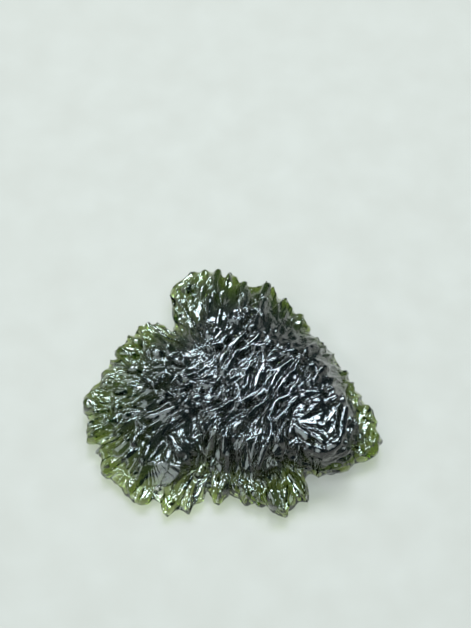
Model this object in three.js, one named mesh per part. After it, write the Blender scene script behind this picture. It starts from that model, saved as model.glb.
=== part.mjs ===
// Moldavite: one piece of natural green glass with a deeply etched surface, lying on its underside.
// Millimetres, +Z up, +X along the longest side. The origin is in the middle of the resting surface.
//
// The stone is a lopsided shield, thickest right of its middle, with a thin scalloped rim. Every point
// of its surface has a place on a flat map: a turn round the stone and a fraction of the way from the
// middle to the rim, on the upper or the under side. The map gives a smooth form, and the troughs and
// crests that etching left are then laid on it along its normals.

import * as THREE from 'three';
import { mergeVertices } from 'three/addons/utils/BufferGeometryUtils.js';

// Driving dimensions

const SPOKES = 6; // corners round the coarse form that is divided into the fine one
const RINGS_BELOW = 18; // rings of faces between the middle and the rim, on the under side
const RINGS_ABOVE = 2 * RINGS_BELOW;
const HUB = [0, -1]; // plan point that every spoke starts from
const CORNER_PULL = 6; // power of the fraction by which bearings near the rim turn to its corners
const MIDDLE = [-0.0365, -0.3345]; // plan point halfway along and across the stone

// Rim seen from above, counterclockwise from the right-hand tip
const OUTLINE = [
  [11.85, -4.75], [11.65, -4.3], [11.5, -3.85], [11.6, -3.5], [11.15, -2.4], [10.85, -1.95],
  [10.6, -1.6], [10.1, -0.7], [9.92, -0.4], [9.85, 0.05], [9.58, 0.25], [9.4, 0.75], [9.2, 1.1],
  [8.8, 1.5], [8.65, 1.9], [8.4, 2.5], [8.0, 3.05], [7.65, 3.2], [7.4, 3.7], [7.25, 4.0], [6.95, 4.05],
  [6.8, 4.4], [6.2, 4.7], [6.37, 5.0], [6.3, 5.35], [5.9, 6.1], [5.7, 6.4], [5.3, 6.5], [5.05, 6.8],
  [4.85, 7.25], [4.4, 7.87], [4.1, 7.85], [3.8, 8.1], [3.45, 8.8], [3.2, 9.0], [2.85, 9.2], [2.55, 9.2],
  [2.4, 9.0], [2.05, 8.87], [1.7, 9.0], [1.3, 9.05], [1.1, 9.35], [0.65, 9.4], [0.45, 9.8], [0.0, 10.1],
  [-0.4, 10.2], [-0.72, 10.1], [-0.9, 10.27], [-1.7, 10.5], [-2.4, 10.5], [-3.05, 10.4], [-3.5, 10.15],
  [-4.25, 9.7], [-4.6, 9.25], [-5.0, 8.7], [-5.1, 8.3], [-4.75, 7.5], [-5.0, 7.1], [-4.85, 6.5],
  [-4.8, 5.9], [-4.75, 5.1], [-4.88, 4.85], [-5.1, 4.95], [-5.8, 5.5], [-6.1, 5.7], [-6.3, 5.58],
  [-6.6, 5.48], [-6.85, 5.68], [-7.1, 5.6], [-7.5, 5.3], [-7.85, 4.95], [-7.9, 4.65], [-7.95, 4.27],
  [-8.2, 4.3], [-8.4, 4.4], [-8.6, 3.9], [-8.85, 3.5], [-9.4, 2.95], [-9.32, 2.55], [-9.15, 2.2],
  [-9.4, 2.05], [-9.8, 2.1], [-9.95, 1.85], [-10.05, 1.3], [-10.4, 1.0], [-10.65, 0.4], [-10.67, 0.05],
  [-11.0, -0.2], [-11.4, -0.8], [-11.8, -1.6], [-11.87, -2.05], [-11.6, -2.4], [-11.43, -2.65],
  [-11.4, -2.95], [-11.1, -3.3], [-11.45, -3.6], [-11.55, -3.85], [-11.5, -4.5], [-11.45, -5.03],
  [-11.0, -5.05], [-10.5, -5.1], [-10.3, -5.25], [-10.4, -5.5], [-10.8, -5.98], [-10.45, -6.0],
  [-10.2, -6.2], [-10.1, -6.5], [-10.2, -6.9], [-10.3, -7.3], [-10.2, -7.6], [-9.85, -7.9],
  [-9.25, -8.13], [-8.93, -8.4], [-8.7, -8.67], [-8.47, -8.73], [-8.48, -9.05], [-8.3, -9.3],
  [-7.9, -9.6], [-7.75, -9.85], [-7.25, -10.1], [-6.9, -10.2], [-6.5, -10.1], [-6.17, -9.73],
  [-5.83, -9.93], [-5.6, -10.1], [-5.4, -10.1], [-5.35, -10.55], [-5.2, -10.95], [-5.0, -11.1],
  [-4.65, -10.9], [-4.4, -10.6], [-4.0, -10.55], [-3.6, -10.8], [-3.25, -11.0], [-3.07, -10.5],
  [-2.95, -10.2], [-2.45, -10.05], [-2.15, -9.8], [-2.0, -9.35], [-1.9, -9.03], [-1.7, -9.3],
  [-1.5, -9.55], [-1.4, -10.0], [-1.15, -10.17], [-0.95, -10.2], [-0.55, -9.75], [-0.3, -9.25],
  [-0.15, -9.08], [0.05, -9.45], [0.3, -9.6], [0.7, -9.75], [0.9, -10.1], [1.3, -10.15],
  [1.75, -10.2], [2.0, -10.35], [2.4, -10.35], [2.65, -10.2], [2.9, -10.25], [3.05, -10.5],
  [3.2, -10.8], [3.55, -11.1], [4.0, -11.25], [4.35, -11.2], [4.4, -10.87], [4.6, -10.57],
  [4.88, -10.35], [5.1, -10.05], [5.5, -9.92], [5.88, -9.95], [6.0, -9.7], [5.92, -8.9], [5.88, -8.1],
  [6.05, -7.8], [6.3, -7.65], [6.55, -7.8], [6.75, -7.95], [7.0, -7.8], [7.4, -7.67], [8.1, -7.62],
  [8.55, -7.55], [9.1, -7.35], [9.4, -7.0], [9.65, -6.72], [10.0, -6.6], [10.5, -6.55], [10.8, -6.4],
  [11.2, -6.15], [11.5, -5.85], [11.6, -5.25], [11.83, -4.95],
];

// How the rim rises to the body, by bearing in degrees from the hub: height of the rim's edge, how
// far its rounding reaches in, width of the thin flange, rise over the flange, width of the slope
const RIM = [
  [12, 1.2, 0.6, 0.4, 1.3, 2.4],
  [28, 1.2, 0.6, 0.2, 1.4, 3.4],
  [46, 1.2, 0.6, 0.2, 1.4, 3.8],
  [64, 1.2, 0.6, 0.2, 1.4, 4.0],
  [84, 1.2, 0.6, 0.3, 1.3, 4.2],
  [105, 1.2, 0.7, 0.6, 1.3, 4.8],
  [120, 1.2, 0.7, 0.6, 1.2, 4.0],
  [130, 1.2, 0.6, 0.3, 1.1, 2.8],
  [139, 1.2, 0.7, 0.9, 0.9, 2.8],
  [152, 1.2, 0.7, 0.4, 1.1, 3.0],
  [168, 1.2, 0.7, 0.3, 1.2, 3.0],
  [184, 1.2, 0.7, 0.3, 1.3, 2.6],
  [198, 1.0, 0.7, 0.5, 1.2, 2.2],
  [210, 0.8, 0.7, 1.0, 1.0, 2.0],
  [222, 0.7, 0.7, 0.9, 0.9, 1.3],
  [230, 0.7, 0.6, 0.9, 0.6, 0.9],
  [238, 0.7, 0.6, 1.0, 0.6, 0.9],
  [244, 0.7, 0.7, 2.0, 0.6, 1.4],
  [252, 0.7, 0.7, 2.0, 0.6, 1.8],
  [266, 0.7, 0.8, 1.1, 1.3, 2.0],
  [280, 0.7, 0.8, 1.3, 1.4, 2.0],
  [294, 0.7, 0.8, 1.9, 1.2, 1.6],
  [303, 0.7, 0.7, 1.8, 1.2, 1.3],
  [308, 0.8, 0.6, 0.7, 1.2, 1.0],
  [314, 0.9, 0.5, 0.1, 2.2, 0.8],
  [328, 0.9, 0.5, 0.1, 2.2, 0.9],
  [333, 0.9, 0.6, 0.8, 1.1, 1.2],
  [342, 1.0, 0.7, 1.6, 1.0, 1.3],
  [355, 1.2, 0.7, 1.0, 1.1, 1.7],
];

// Height of the body away from the rim, at plan points: x, y, height
const BODY = [
  [0, 0, 4.9], [3, 0, 5.3], [6, 0, 5.2], [4, -3.2, 5.5], [7.5, -2.4, 5.4], [9, -4, 4.9],
  [9, -6.5, 4.6], [6, -7, 4.7], [3.5, -6.5, 4.7], [0.5, -6.5, 4.4], [-2, -6, 4.2],
  [-4.5, -5.5, 3.9], [-7, -5.5, 2.9], [-9, -5, 2.4], [-4, -8, 2.8], [-6.5, -8, 2.2], [0, -3.5, 4.8],
  [-3, -1.5, 4.5], [-6, -2, 3.3], [-7.8, -2.6, 2.1], [-9.8, -3, 2.3], [-9.5, -0.5, 2.4],
  [-7, 0.5, 3.2], [-4, 1.5, 3.9], [-7.5, 3, 2.4], [-5, 3.5, 3.2], [-2, 2.5, 4.3], [1, 2.5, 5.0],
  [4, 2.5, 4.9], [6.5, 2, 4.5], [8.2, 0, 4.5], [0, 4.5, 4.4], [-2.5, 5.5, 3.4], [2.5, 5, 4.1],
  [4.8, 4.5, 3.9], [-3.5, 8, 2.7], [-1, 7.5, 3.4], [1.5, 7, 3.6], [3.2, 7, 3.5],
];
const BODY_REACH = 1.7; // how far each height spreads

// Underside: a shallow bowl whose lowest part is worn flat where the stone rests
const FLAT_CENTRE = [0.6, -1.6];
const BOWL_DEPTH = 0.32; // how far the bowl would reach below the flat
const BOWL_CURVE = 0.009; // rise of the bowl for each square of the distance
const UNDER_RISE = 0.35; // fall from the rim's edge over its rounding
const UNDER_SLOPE = 4.0; // width of the slope from the rim to the bowl

// Shell-shaped scar of an old chip, on the flange at the front left: plan place and height of its
// lowest point, how steeply and in what bend it climbs behind that, and how it rises to the sides
const CHIP = { x: -6.4, y: -8.85, z: 1.3, climb: 0.95, bend: 1.2, side: 0.15 };
const CHIP_EDGE = 0.12; // depth of the scar at which the etching has wholly gone

// Ribs, which carry the outline's scallops in over the rim
const RIB_HEIGHT = 0.32; // rise of a rib and fall of the groove beside it
const RIB_SPREAD = 5; // degrees to each side over which the outline is evened out to find the scallops
const RIB_SWING = 0.35; // distance of a scallop from the even outline that gives it its whole height
const RIB_REACH = 2.6; // how far in from the rim the ribs run out
const RIB_FADE = 1.5; // power by which they die away over that reach
const RIB_BELOW = 0.4; // share of their height that shows on the under side

// Calm patches of the upper side, the facet at the lower right first, where the troughs are shallow:
// middle, half length and half width in plan, and share of the troughs' depth that is missing
const CALM_PATCHES = [
  [6.1, -4.8, 3.0, 2.6, 0.65],
  [-1.2, -0.8, 1.2, 0.8, 0.8],
  [0.5, 4.8, 0.9, 1.0, 0.7],
];

// Etched troughs, one for each seed
const TROUGHS_ABOVE = 400;
const TROUGHS_BELOW = 240;
const TROUGH_LENGTH = 1.6; // half length along the flow
const TROUGH_WIDTH = 0.46; // half width across it
const TROUGH_DEPTH = 0.38;
const TROUGH_SIZES = [0.75, 1.25]; // smallest and largest share of those measures
const TROUGH_STRAY = [0.7, 0.11]; // how far a seed strays from its even place, outward and round
const OUTWARD_PULL = 0.02; // weight of the outward direction against that of the crests
const OUTWARD_FROM = [0, 1]; // plan point that the outward direction leads away from
const MAP_STEP = 0.02; // fraction over which the surface's slope is felt for a seed, outward
const TURN_STEP = 0.005; // share of a turn over which it is felt round the stone
const RIM_FADE = 0.5; // share of the relief that is lost at the rim's edge
const RIM_FADE_START = 0.9; // fraction of the way to the rim where that loss begins

// Crests left standing between the troughs, seen from above as runs of x, y
const CREST_HEIGHT = 0.36;
const CREST_WIDTH = 0.48; // half width of a crest at its foot
const CRESTS = [
  [-0.7, -0.55, -0.5, -0.35, 0, 0.2, 0.2, 0.8],
  [0.95, -1.65, 1.35, -1.4],
  [0.7, -2.45, 1.15, -2.0, 1.3, -1.6],
  [0.6, -3.4, 1.0, -3.3, 1.55, -3.0, 1.8, -2.6, 1.9, -2.1, 1.95, -1.5, 2.2, -0.9, 2.4, -0.5,
    2.5, 0.1, 2.4, 0.7],
  [-2.1, -4.15, -1.8, -4.1, -1.45, -4.03, -1.05, -3.9, -0.55, -3.6, -0.25, -3.45, 0.1, -3.25,
    0.4, -3.1, 0.55, -2.8],
  [-2.2, -5.15, -1.85, -4.95, -1.55, -4.7, -1.3, -4.55, -1.05, -4.25],
  [-1.15, -5.6, -1.0, -5.3, -0.85, -4.9, -0.9, -4.65],
  [-2.55, -7.8, -2.35, -7.35, -2.2, -7.1, -1.95, -6.7, -1.7, -6.3, -1.5, -5.8, -1.35, -5.4],
  [-0.6, -7.0, -0.55, -6.5, -0.5, -6.05, -0.35, -5.7, 0, -5.25, 0.3, -4.9, 0.65, -4.75, 1.1, -4.6, 1.55, -4.3,
    1.9, -3.95, 2.3, -3.7, 2.65, -3.4],
  [0.3, -5.35, 0.7, -5.15],
  [-3.3, -3.75, -3.0, -3.5, -2.6, -3.35],
  [-3.45, -3.2, -3.15, -3.0, -2.85, -2.85, -2.6, -2.6],
  [-3.0, -2.35, -2.75, -2.3, -2.55, -2.1],
  [-4.05, -2.8, -3.85, -2.7, -3.7, -2.5],
  [-7.15, -3.95, -6.85, -3.7, -6.4, -3.6, -5.9, -3.6, -5.4, -3.5, -5.0, -3.35, -4.7, -3.3,
    -4.35, -3.2, -4.2, -2.95],
  [-8.3, -3.3, -7.8, -3.2, -7.3, -3.25, -6.8, -3.15, -6.55, -3.05, -6.3, -2.85, -5.85, -2.5, -5.55, -2.4,
    -5.25, -2.25, -4.9, -1.95],
  [-4.1, -1.1, -3.85, -0.9, -3.55, -0.85, -3.3, -0.75],
  [-4.0, -1.85, -3.8, -1.75, -3.4, -1.55, -3.15, -1.35],
  [-4.15, -4.15, -3.85, -4.05, -3.55, -3.85],
  [-2.1, -3.1, -1.95, -2.8, -1.75, -2.6, -1.55, -2.3],
  [-1.9, -3.35, -1.75, -3.1, -1.65, -2.85],
  [-1.0, -2.75, -0.75, -2.35],
  [-0.5, -2.6, -0.25, -2.2],
  [-2.55, -1.75, -2.05, -1.7, -1.4, -1.7],
  [-0.25, -1.55, 0.05, -1.4, 0.3, -1.25, 0.7, -1.05],
  [0.3, -2.5, 0.4, -2.3, 0.4, -2.0],
  [0.8, -0.65, 1.1, -0.7, 1.35, -0.55],
  [2.8, -2.65, 3.0, -2.3, 3.2, -1.9, 3.35, -1.5, 3.6, -1.1, 3.75, -0.65, 4.15, -0.35, 4.5, 0,
    4.85, 0.25, 5.35, 0.45],
  [3.6, -2.5, 3.87, -2.1, 4.05, -1.8, 4.3, -1.45, 4.5, -1.1, 4.88, -0.85, 5.0, -0.35, 5.2, 0],
  [4.4, -2.85, 4.6, -2.55, 4.9, -2.35],
  [5.35, -3.15, 5.6, -3.0, 5.9, -2.75, 6.2, -2.7, 6.55, -2.75, 6.9, -2.5],
  [2.95, -4.35, 3.1, -4.05, 3.3, -3.7, 3.55, -3.4, 4.0, -3.3, 4.4, -3.1],
  [2.1, -8.0, 2.25, -7.6, 2.45, -7.2, 2.7, -6.8, 2.9, -6.4, 3.0, -5.95, 3.05, -5.45, 3.0, -5.0, 2.95, -4.6],
  [3.5, -4.9, 3.75, -4.7, 4.1, -4.45, 4.3, -4.15, 4.4, -3.85, 4.7, -3.5, 5.0, -3.25],
  [4.5, -5.95, 4.6, -5.6],
  [4.6, -5.3, 4.8, -5.5, 5.25, -5.75, 5.55, -6.0, 5.8, -6.2],
  [6.35, -6.15, 6.65, -6.4, 6.9, -6.65],
  [5.65, -7.1, 6.35, -7.15, 7.0, -7.3, 7.65, -7.05, 8.1, -6.75, 8.4, -5.95, 8.45, -5.3,
    8.6, -4.5, 8.65, -4.1],
  [6.1, -3.55, 6.5, -3.5, 6.8, -3.3],
  [6.0, -4.15, 6.3, -4.0],
  [7.45, -3.3, 7.75, -3.3, 8.0, -3.1],
  [6.6, -0.95, 6.85, -0.7, 7.2, -0.4],
  [6.0, -1.8, 6.3, -1.75, 6.5, -1.4],
  [5.3, -2.3, 5.6, -1.75],
  [5.8, 1.1, 5.95, 1.5, 6.3, 1.8, 6.5, 2.0],
  [4.15, 0.95, 4.35, 1.3, 4.45, 1.7],
  [4.55, 0.95, 4.9, 1.15],
  [3.0, 0, 3.25, 0.2, 3.5, 0.3, 3.55, 0.65],
  [1.2, 1.55, 1.5, 1.7, 1.65, 1.95],
  [1.85, 1.5, 2.15, 1.6, 2.35, 1.8],
  [2.55, 1.55, 2.8, 1.7, 3.05, 1.95],
  [2.4, -0.95, 2.65, -0.6, 2.9, -0.45],
  [3.15, -1.0, 3.55, -0.8],
  [2.05, -3.0, 2.3, -2.75, 2.5, -2.55],
  [6.0, -0.35, 6.4, -0.2],
  [-9.6, -3.8, -9.4, -3.75, -9.05, -3.6, -8.75, -3.3],
  [-8.85, -4.6, -8.45, -4.4, -8.15, -4.15, -7.9, -3.95, -7.6, -3.75],
  [-9.05, -2.75, -8.9, -2.5],
  [-10.6, -2.85, -10.2, -2.85, -9.9, -2.8],
  [-8.95, -1.15, -8.35, -1.15],
  [-6.65, 2.1, -6.45, 2.15, -6.1, 2.0, -5.75, 1.95],
  [-5.95, 3.85, -5.55, 3.15, -5.3, 2.75, -5.05, 2.35],
  [-7.7, 3.4, -7.35, 3.25, -7.0, 3.0],
  [-9.0, 2.55, -8.5, 2.35, -7.9, 2.05],
  [-8.05, 0.75, -7.55, 0.6],
  [-6.85, -0.35, -6.5, -0.6, -6.1, -0.85, -5.75, -0.7, -5.4, -0.4],
  [-4.65, 1.15, -4.35, 0.95, -3.75, 0.7],
  [-10.05, -0.55, -9.35, -0.6],
  [-11.4, -2.3, -11.1, -2.4, -10.7, -2.45],
  [-7.5, -5.65, -7.4, -5.35, -7.1, -5.1, -6.95, -4.75, -6.75, -4.6],
  [-9.3, -5.95, -8.85, -6.05, -8.45, -5.85, -8.15, -5.6, -8.0, -5.4],
  [-6.85, -7.1, -6.65, -6.9, -6.5, -6.6, -6.4, -6.3, -6.2, -5.95, -6.0, -5.75, -5.7, -5.45, -5.25, -5.05,
    -4.95, -4.9, -4.7, -4.65, -4.5, -4.3],
  [-4.65, -5.7, -4.4, -6.15, -4.2, -6.65, -4.05, -6.95, -3.75, -6.8, -3.5, -6.45, -3.4, -6.15],
  [-3.1, -7.4, -2.8, -7.2, -2.65, -6.8],
  [-0.35, -9.2, -0.35, -8.6, -0.3, -8.0, -0.25, -7.0],
  [3.5, -6.3, 3.65, -6.75, 3.6, -7.25],
  [3.2, -10.4, 3.1, -10.1, 2.95, -9.7],
  [-3.75, 8.1, -3.35, 8.25, -2.95, 8.25],
  [-2.45, 7.5, -2.4, 8.0],
  [-1.4, 7.4, -1.35, 8.0, -1.35, 8.6, -1.2, 9.2, -1.15, 9.7],
  [-1.85, 4.55, -1.75, 4.9, -1.75, 5.6, -1.8, 6.2, -1.75, 6.8],
  [0.8, 7.2, 0.88, 7.95, 0.97, 8.5],
  [1.1, 5.6, 1.15, 6.25, 1.2, 6.85, 1.2, 7.6],
  [2.4, 4.8, 2.45, 5.5, 2.5, 6.1, 2.65, 6.6],
  [2.4, 7.0, 2.65, 7.6, 2.8, 8.2],
  [-0.2, 1.5, 0.2, 1.85, 0.5, 2.15, 0.75, 2.4, 0.95, 2.6],
  [1.3, 1.55, 1.55, 1.85, 1.85, 2.2, 2.05, 2.55, 2.2, 2.85],
  [0.4, 0.95, 0.75, 1.1, 1.1, 1.2],
  [1.2, 4.95, 1.5, 5.2, 1.85, 5.3, 2.15, 5.35],
  [1.0, 4.8, 0.75, 5.2, 0.35, 5.25, 0.05, 4.9, 0.1, 4.45, 0.5, 4.25, 0.9, 4.4, 1.0, 4.8],
  [1.55, 3.4, 1.8, 3.6, 1.95, 3.9, 2.05, 4.6],
  [-2.5, 4.3, -2.2, 3.9, -1.95, 3.55, -1.9, 3.25],
  [-1.8, 1.7, -1.3, 1.85, -0.9, 2.0, -0.5, 2.5],
  [-0.8, 0.4, -0.65, 0.85],
];
const FLOW_REACH = 1.3; // how far the run of a crest turns the troughs beside it

const STONE = new THREE.MeshStandardMaterial({ color: 0x2c3a1c, roughness: 0.25, metalness: 0 });

// Small helpers

const clamp01 = (v) => Math.min(1, Math.max(0, v));
const ROUNDING = 1e-6; // differences smaller than this count as none

// Scattered value from 0 to 1 for a whole number and a draw: the fraction of a long sine
const SCATTER = { index: 12.9898, draw: 78.233, swing: 43758.5453 };
const noise = (i, k) => {
  const v = Math.sin(i * SCATTER.index + k * SCATTER.draw) * SCATTER.swing;
  return v - Math.floor(v);
};

// Outline seen from the hub

const RIM_POINTS = OUTLINE.map(([x, y]) => new THREE.Vector2(x - HUB[0], y - HUB[1]));
const START = RIM_POINTS[0].angle() - 2 * Math.PI;
const RIM_BEARINGS = RIM_POINTS.map((point) => {
  const bearing = point.angle();
  return bearing < START + 2 * Math.PI ? bearing : bearing - 2 * Math.PI;
});

// Distance from the hub to the outline at a bearing
function rimRadius(bearing) {
  let b = (bearing - START) % (2 * Math.PI);
  if (b < 0) b += 2 * Math.PI;
  b += START;
  let low = 0;
  let high = RIM_BEARINGS.length;
  while (high - low > 1) {
    const mid = (low + high) >> 1;
    if (RIM_BEARINGS[mid] <= b) low = mid;
    else high = mid;
  }
  const p = RIM_POINTS[low];
  const edge = RIM_POINTS[(low + 1) % RIM_POINTS.length].clone().sub(p);
  return p.cross(edge) / (Math.cos(b) * edge.y - Math.sin(b) * edge.x);
}

// How far the outline stands out from its even run at a bearing: 1 on a scallop and -1 in a notch
function scallop(bearing) {
  let even = 0;
  for (let k = -RIB_SPREAD; k <= RIB_SPREAD; k++) even += rimRadius(bearing + THREE.MathUtils.degToRad(k));
  const swing = rimRadius(bearing) - even / (2 * RIB_SPREAD + 1);
  return THREE.MathUtils.clamp(swing / RIB_SWING, -1, 1);
}

// Distance of a plan point from the nearest piece of the outline
function rimDistance(x, y) {
  let best = Infinity;
  for (let i = 0; i < RIM_POINTS.length; i++) {
    const p = RIM_POINTS[i];
    const q = RIM_POINTS[(i + 1) % RIM_POINTS.length];
    const ex = q.x - p.x;
    const ey = q.y - p.y;
    const px = x - HUB[0] - p.x;
    const py = y - HUB[1] - p.y;
    const t = clamp01((px * ex + py * ey) / (ex * ex + ey * ey));
    best = Math.min(best, Math.hypot(px - t * ex, py - t * ey));
  }
  return best;
}

// Bearing of a turn, pulled near the rim to the outline's closest corner, so that the corners stay sharp
function bearingOf(turn, fraction) {
  const even = START + 2 * Math.PI * turn;
  const gaps = RIM_BEARINGS.map((corner) => (corner - even + 3 * Math.PI) % (2 * Math.PI) - Math.PI);
  const pull = gaps.reduce((best, gap) => (Math.abs(gap) < Math.abs(best) ? gap : best));
  const reach = Math.PI / (SPOKES * RINGS_ABOVE);
  return Math.abs(pull) < reach ? even + pull * fraction ** CORNER_PULL : even;
}

// Rim table read at a bearing
function rimRow(bearing) {
  let degrees = THREE.MathUtils.radToDeg(bearing) % 360;
  if (degrees < 0) degrees += 360;
  let next = RIM.findIndex((row) => row[0] > degrees);
  if (next < 0) next = 0;
  const a = RIM[(next + RIM.length - 1) % RIM.length];
  const b = RIM[next];
  const span = (b[0] - a[0] + 360) % 360;
  const t = ((degrees - a[0] + 360) % 360) / span;
  return a.slice(1).map((v, i) => v + (b[i + 1] - v) * t);
}

// Smooth form: height of the body and of both sides

function bodyHeight(x, y) {
  let sum = 0;
  let weight = 0;
  for (const [px, py, height] of BODY) {
    const w = Math.exp(-((x - px) ** 2 + (y - py) ** 2) / (2 * BODY_REACH ** 2)) + 1e-9;
    sum += w * height;
    weight += w;
  }
  return sum / weight;
}

function chipHeight(x, y) {
  return CHIP.z + CHIP.climb * Math.max(0, y - CHIP.y) ** CHIP.bend + CHIP.side * (x - CHIP.x) ** 2;
}

// Round-over of the rim, 0 at its edge and 1 further in
const rollShare = (inward, rounding) => Math.sqrt(1 - (1 - clamp01(inward / rounding)) ** 2);

// Rise of the ribs at a bearing and a distance in from the rim
function ribHeight(bearing, inward) {
  return RIB_HEIGHT * scallop(bearing) * (1 - clamp01(inward / RIB_REACH)) ** RIB_FADE;
}

function unchippedHeight(x, y, inward, bearing) {
  const [edge, rounding, flange, rise, slope] = rimRow(bearing);
  const climb = Math.sin(clamp01((inward - flange) / slope) * Math.PI / 2);
  const body = (bodyHeight(x, y) - edge - rise) * climb;
  return edge + (rise + ribHeight(bearing, inward)) * rollShare(inward, rounding) + body;
}

// Share of the etching that the chip took away
function chipShare(x, y, bearing) {
  if (y < CHIP.y) return 0;
  const cut = unchippedHeight(x, y, rimDistance(x, y), bearing) - chipHeight(x, y);
  return THREE.MathUtils.smoothstep(cut, 0, CHIP_EDGE);
}

function topHeight(x, y, inward, bearing) {
  return Math.min(unchippedHeight(x, y, inward, bearing), chipHeight(x, y));
}

function underHeight(x, y, inward, bearing) {
  const [edge, rounding] = rimRow(bearing);
  const bowl = BOWL_CURVE * ((x - FLAT_CENTRE[0]) ** 2 + (y - FLAT_CENTRE[1]) ** 2) - BOWL_DEPTH;
  const fall = UNDER_RISE + RIB_BELOW * ribHeight(bearing, inward);
  const climb = Math.sin(clamp01(inward / UNDER_SLOPE) * Math.PI / 2);
  return edge - fall * rollShare(inward, rounding) + (bowl - edge + UNDER_RISE) * climb;
}

// Point of the smooth form at a bearing and a distance from the hub
function formPoint(bearing, radius, above) {
  const x = HUB[0] + radius * Math.cos(bearing);
  const y = HUB[1] + radius * Math.sin(bearing);
  const height = above ? topHeight : underHeight;
  return new THREE.Vector3(x, y, height(x, y, rimDistance(x, y), bearing));
}

// Radii that divide each spoke evenly along the surface, as shares of the rim's radius

const BEARING_STEPS = 240;
const RADIUS_STEPS = 160;
const SHARE_STEPS = 64;

function spokeShares(bearing, above) {
  const rim = rimRadius(bearing);
  const runs = [0];
  let last = formPoint(bearing, 0, above);
  for (let i = 1; i <= RADIUS_STEPS; i++) {
    const point = formPoint(bearing, rim * i / RADIUS_STEPS, above);
    runs.push(runs[i - 1] + point.distanceTo(last));
    last = point;
  }
  const shares = [];
  let i = 0;
  for (let s = 0; s <= SHARE_STEPS; s++) {
    const run = runs[RADIUS_STEPS] * s / SHARE_STEPS;
    while (i < RADIUS_STEPS - 1 && runs[i + 1] < run) i++;
    shares.push((i + (run - runs[i]) / (runs[i + 1] - runs[i])) / RADIUS_STEPS);
  }
  return shares;
}

const SHARES = [false, true].map((above) => {
  const table = [];
  for (let b = 0; b < BEARING_STEPS; b++) table.push(spokeShares(2 * Math.PI * b / BEARING_STEPS, above));
  return table;
});

function radiusShare(bearing, fraction, above) {
  let b = bearing / (2 * Math.PI) * BEARING_STEPS % BEARING_STEPS;
  if (b < 0) b += BEARING_STEPS;
  const b0 = Math.floor(b);
  const s = fraction * SHARE_STEPS;
  const s0 = Math.min(Math.floor(s), SHARE_STEPS - 1);
  const table = SHARES[above ? 1 : 0];
  const at = (row) => row[s0] + (row[s0 + 1] - row[s0]) * (s - s0);
  const near = at(table[b0 % BEARING_STEPS]);
  const far = at(table[(b0 + 1) % BEARING_STEPS]);
  return near + (far - near) * (b - b0);
}

// Point of the smooth form at a place on the map
function mapPoint(turn, fraction, above) {
  const bearing = bearingOf(turn, fraction);
  return formPoint(bearing, rimRadius(bearing) * radiusShare(bearing, fraction, above), above);
}

// Crests as straight pieces, each with its middle and its doubled direction

const CREST_PIECES = CRESTS.flatMap((run) => {
  const pieces = [];
  for (let i = 0; i + 3 < run.length; i += 2) {
    const [ax, ay, bx, by] = run.slice(i, i + 4);
    pieces.push({ ax, ay, dx: bx - ax, dy: by - ay, twice: 2 * Math.atan2(by - ay, bx - ax) });
  }
  return pieces;
});

// Direction of the etching at a plan point: along the crests near it, and outward where there are none
function flowAngle(x, y, above) {
  const outward = 2 * Math.atan2(y - OUTWARD_FROM[1], x - OUTWARD_FROM[0]);
  let c = Math.cos(outward) * OUTWARD_PULL;
  let s = Math.sin(outward) * OUTWARD_PULL;
  if (above) {
    for (const piece of CREST_PIECES) {
      const gap = (x - piece.ax - piece.dx / 2) ** 2 + (y - piece.ay - piece.dy / 2) ** 2;
      const w = Math.exp(-gap / (2 * FLOW_REACH ** 2)) * Math.hypot(piece.dx, piece.dy);
      c += w * Math.cos(piece.twice);
      s += w * Math.sin(piece.twice);
    }
  }
  return Math.atan2(s, c) / 2;
}

// Troughs: seeds spread over the map like the seeds of a sunflower, each with the way it runs

function troughSeeds(count, above) {
  const seeds = [];
  const golden = (3 - Math.sqrt(5)) / 2;
  const step = 1 / Math.sqrt(count);
  const [strayOut, strayRound] = TROUGH_STRAY;
  const [smallest, largest] = TROUGH_SIZES;
  for (let i = 0; i < count; i++) {
    const fraction = clamp01(Math.sqrt((i + 0.5) / count) + (noise(i, 1) - 0.5) * strayOut * step);
    const stray = (noise(i, 2) - 0.5) * strayRound * step / Math.max(fraction, step);
    const turn = (i * golden + stray + 1) % 1;
    const place = mapPoint(turn, fraction, above);
    const inner = mapPoint(turn, Math.max(0, fraction - MAP_STEP), above);
    const outer = mapPoint(turn, Math.min(1, fraction + MAP_STEP), above);
    const before = mapPoint((turn + 1 - TURN_STEP) % 1, fraction, above);
    const after = mapPoint((turn + TURN_STEP) % 1, fraction, above);
    const normal = outer.sub(inner).cross(after.sub(before)).normalize();
    const angle = flowAngle(place.x, place.y, above);
    const along = new THREE.Vector3(Math.cos(angle), Math.sin(angle), 0);
    along.addScaledVector(normal, -along.dot(normal)).normalize();
    const size = smallest + (largest - smallest) * noise(i, 3);
    seeds.push({ place, along, length: TROUGH_LENGTH * size, width: TROUGH_WIDTH * size });
  }
  return seeds;
}

const SEEDS = [...troughSeeds(TROUGHS_ABOVE, true), ...troughSeeds(TROUGHS_BELOW, false)];

// Share of the troughs' depth that is missing at a plan point
function calmShare(x, y) {
  const shares = CALM_PATCHES.map(([px, py, halfLength, halfWidth, share]) => {
    const square = ((x - px) / halfLength) ** 2 + ((y - py) / halfWidth) ** 2;
    return share * THREE.MathUtils.smoothstep(1 - square, 0, 1);
  });
  return Math.max(...shares);
}

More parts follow.
